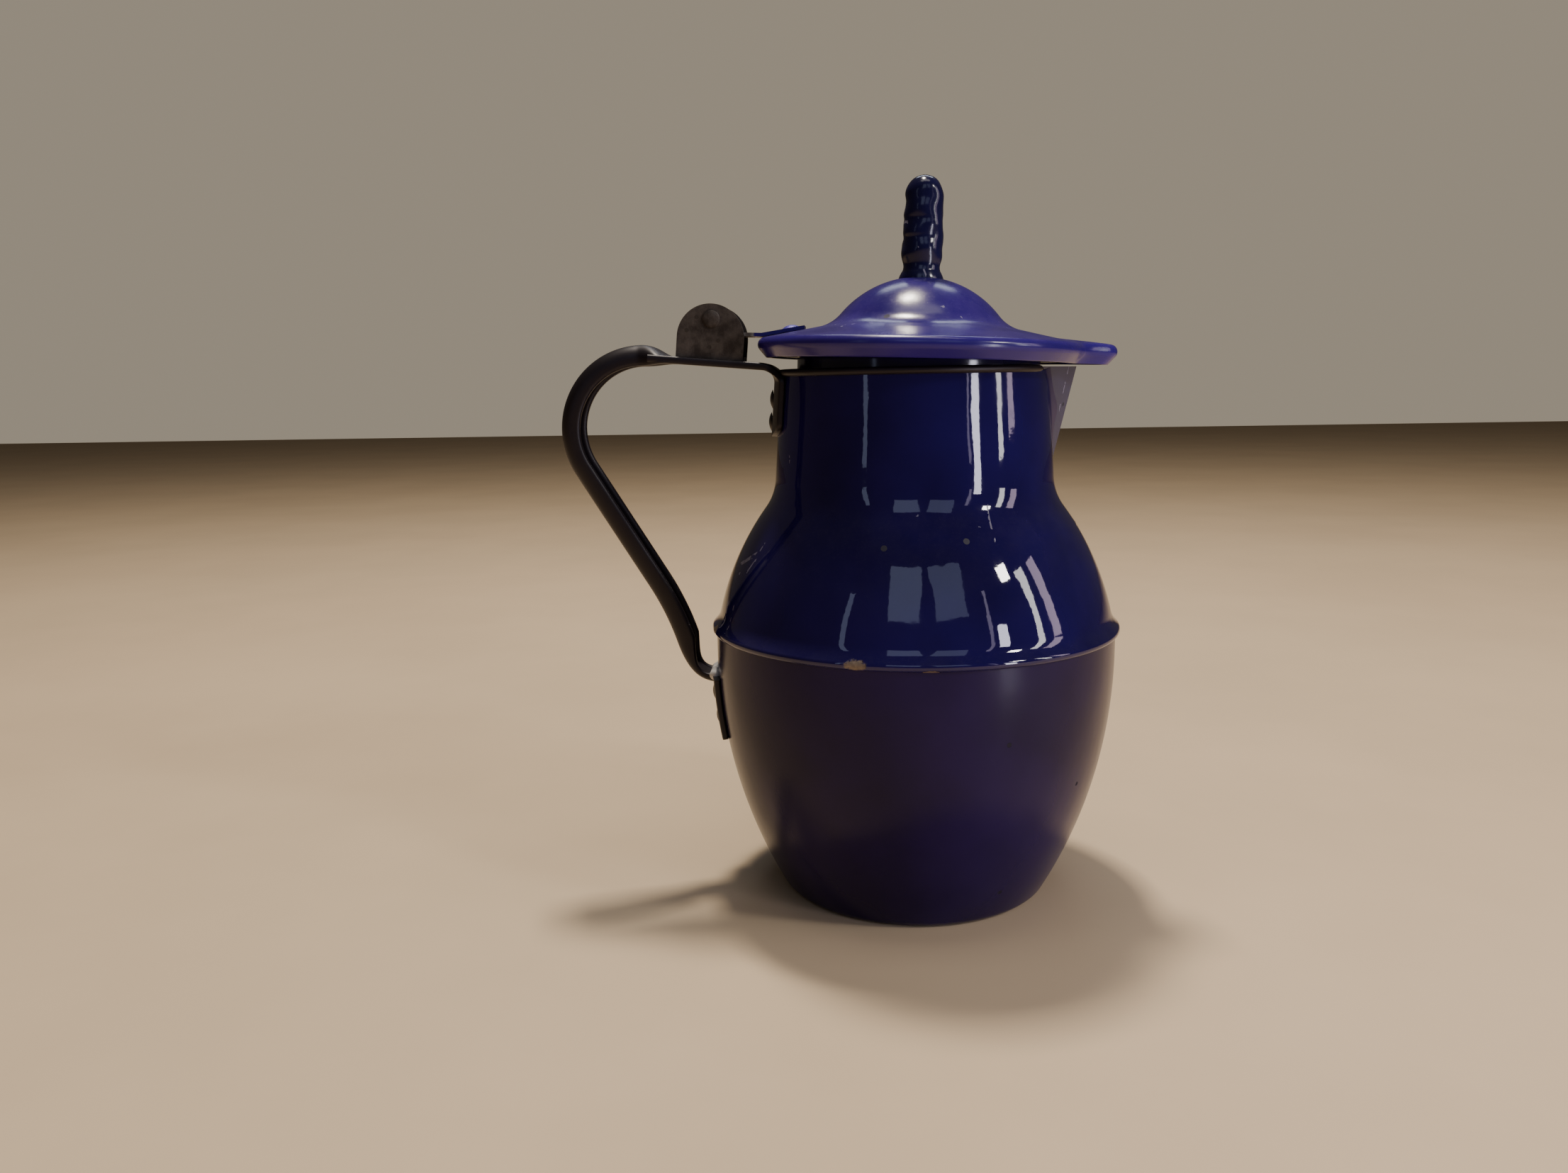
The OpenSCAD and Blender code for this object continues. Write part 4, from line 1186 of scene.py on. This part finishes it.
# Name, place, target, width and height, watts, colour.
LIGHTS = (
    ("lamp_above", (-0.08, 0.26, 1.15), AIM, (0.13, 0.13), 15.0, (1.0, 0.90, 0.76)),
    ("lamp_right", (0.68, -0.39, 0.60), AIM, (0.10, 0.10), 2.4, (1.0, 0.96, 0.90)),
    ("strip_low", (0.235, -0.225, 0.08), (0, 0, 0.06), (0.035, 0.15), 0.32, (0.86, 0.84, 1.0)),
    ("glow_behind", (0.03, 0.45, 0.62), (0, 0, 0.12), (0.40, 0.10), 0.6, (0.80, 0.88, 1.0)),
    ("ceiling", (0.0, -0.15, 1.4), AIM, (0.9, 0.35), 3.2, (1.0, 0.94, 0.88)),
    ("pane_left", (-0.115, -0.82, 0.63), AIM, (0.30, 0.40), 0.50, (0.62, 0.72, 1.0)),
    ("pane_right", (0.284, -0.779, 0.63), AIM, (0.30, 0.40), 0.42, (0.62, 0.72, 1.0)),
    ("strip_far_left", (-0.56, -0.62, 0.34), AIM, (0.05, 0.42), 0.10, (0.60, 0.70, 1.0)),
    ("strip_dim", (0.55, -0.62, 0.34), AIM, (0.03, 0.40), 0.10, (0.80, 0.70, 0.95)),
    ("strip_bright", (0.78, -0.26, 0.34), AIM, (0.07, 0.42), 1.1, (1.0, 0.97, 0.97)),
    ("strip_pink", (0.80, -0.10, 0.34), AIM, (0.09, 0.38), 0.55, (0.95, 0.74, 0.92)),
)


def area_light(name, place, target, size, power, colour):
    """Rectangular soft light at a place, turned to a target."""
    lamp = bpy.data.lights.new(name, "AREA")
    lamp.shape = "RECTANGLE"
    lamp.size, lamp.size_y = size
    lamp.energy = power
    lamp.color = colour
    light = bpy.data.objects.new(name, lamp)
    light.location = place
    aim = Vector(target) - Vector(place)
    light.rotation_euler = aim.to_track_quat("-Z", "Y").to_euler()
    bpy.context.scene.collection.objects.link(light)


class JUG_OT_stage(bpy.types.Operator):
    """Pale floor, soft studio light and the camera."""

    bl_idname = "jug.stage"
    bl_label = "Stage"

    def execute(self, context):
        stage = context.scene.jug_stage
        mesh = bpy.data.meshes.new("floor")
        side = 2.5
        corners = [(-side, -side, 0), (side, -side, 0), (side, side, 0), (-side, side, 0)]
        mesh.from_pydata(corners, [], [(0, 1, 2, 3)])
        floor = bpy.data.objects.new("floor", mesh)
        context.scene.collection.objects.link(floor)
        material, tree, shader, vector = blank_material("floor_finish")
        tone = ranged(tree, noise(tree, vector, 9.0, 5.0, 0.6), 0.3, 0.7)
        colour = blended(tree, tone, rgba(stage.floor, 0.96), rgba(stage.floor, 1.03))
        tree.links.new(colour, shader.inputs["Base Color"])
        shader.inputs["Roughness"].default_value = 0.6
        mesh.materials.append(material)
        for row in LIGHTS:
            area_light(*row)
        self.world()
        self.camera(stage)
        return {"FINISHED"}

    def world(self):
        """Dim warm surroundings, which the camera itself sees lighter."""
        world = bpy.data.worlds.new("studio")
        bpy.context.scene.world = world
        world.use_nodes = True
        tree = world.node_tree
        around = tree.nodes["Background"]
        around.inputs["Color"].default_value = (0.50, 0.42, 0.32, 1.0)
        around.inputs["Strength"].default_value = 0.13
        lighter = {0: (0.50, 0.43, 0.33, 1.0), 1: 0.62}
        backdrop = add(tree, "ShaderNodeBackground", values=lighter)
        seen = add(tree, "ShaderNodeLightPath").outputs["Is Camera Ray"]
        both = {0: seen, 1: around.outputs[0], 2: backdrop.outputs[0]}
        mix = add(tree, "ShaderNodeMixShader", values=both)
        tree.links.new(mix.outputs[0], tree.nodes["World Output"].inputs["Surface"])

    def camera(self, stage):
        """Camera on a circle round the jug, looking down 9.87 degrees and a little to the left."""
        yaw, pitch = math.radians(-6.35) + stage.turn, math.radians(9.87)
        roll = math.radians(-0.97)
        level = math.cos(pitch)
        ahead = Vector((math.sin(yaw) * level, math.cos(yaw) * level, -math.sin(pitch)))
        right = Vector((math.cos(yaw), -math.sin(yaw), 0.0))
        up = right.cross(ahead)
        right_rolled = right * math.cos(roll) + up * math.sin(roll)
        up_rolled = up * math.cos(roll) - right * math.sin(roll)
        lens = bpy.data.cameras.new("camera")
        lens.lens, lens.sensor_width = 26.95, 36.0
        lens.clip_start = 0.01
        camera = bpy.data.objects.new("camera", lens)
        turn = Matrix((right_rolled, up_rolled, -ahead)).transposed().to_4x4()
        back, away = stage.distance, stage.turn
        place = Vector((-back * math.sin(away), -back * math.cos(away), stage.height))
        camera.matrix_world = Matrix.Translation(place) @ turn
        bpy.context.scene.collection.objects.link(camera)
        bpy.context.scene.camera = camera


STEPS = (JUG_OT_bowl, JUG_OT_shoulder, JUG_OT_rim_bead, JUG_OT_handle, JUG_OT_lid, JUG_OT_knob,
         JUG_OT_fittings, JUG_OT_stage)


class JUG_PT_panel(bpy.types.Panel):
    """Lists the steps that build the jug, with its sizes and colours."""

    bl_label = "Enamelled jug"
    bl_idname = "JUG_PT_panel"
    bl_space_type = "VIEW_3D"
    bl_region_type = "UI"
    bl_category = "Jug"

    def draw(self, context):
        for group in SETTINGS:
            settings = getattr(context.scene, group)
            box = self.layout.box()
            for name in settings.__annotations__:
                box.prop(settings, name)
        for step in STEPS:
            self.layout.operator(step.bl_idname)


CLASSES = (JugSizes, JugFinish, JugStage) + STEPS + (JUG_PT_panel,)
SETTINGS = {"jug_sizes": JugSizes, "jug_finish": JugFinish, "jug_stage": JugStage}


def register():
    for item in CLASSES:
        bpy.utils.register_class(item)
    for name, kind in SETTINGS.items():
        setattr(bpy.types.Scene, name, PointerProperty(type=kind))


def unregister():
    for name in SETTINGS:
        delattr(bpy.types.Scene, name)
    for item in reversed(CLASSES):
        bpy.utils.unregister_class(item)


def main():
    register()
    bpy.ops.jug.bowl()
    bpy.ops.jug.shoulder()
    bpy.ops.jug.rim_bead()
    bpy.ops.jug.handle()
    bpy.ops.jug.lid()
    bpy.ops.jug.knob()
    bpy.ops.jug.fittings()
    bpy.ops.jug.stage()


if __name__ == "__main__":
    main()
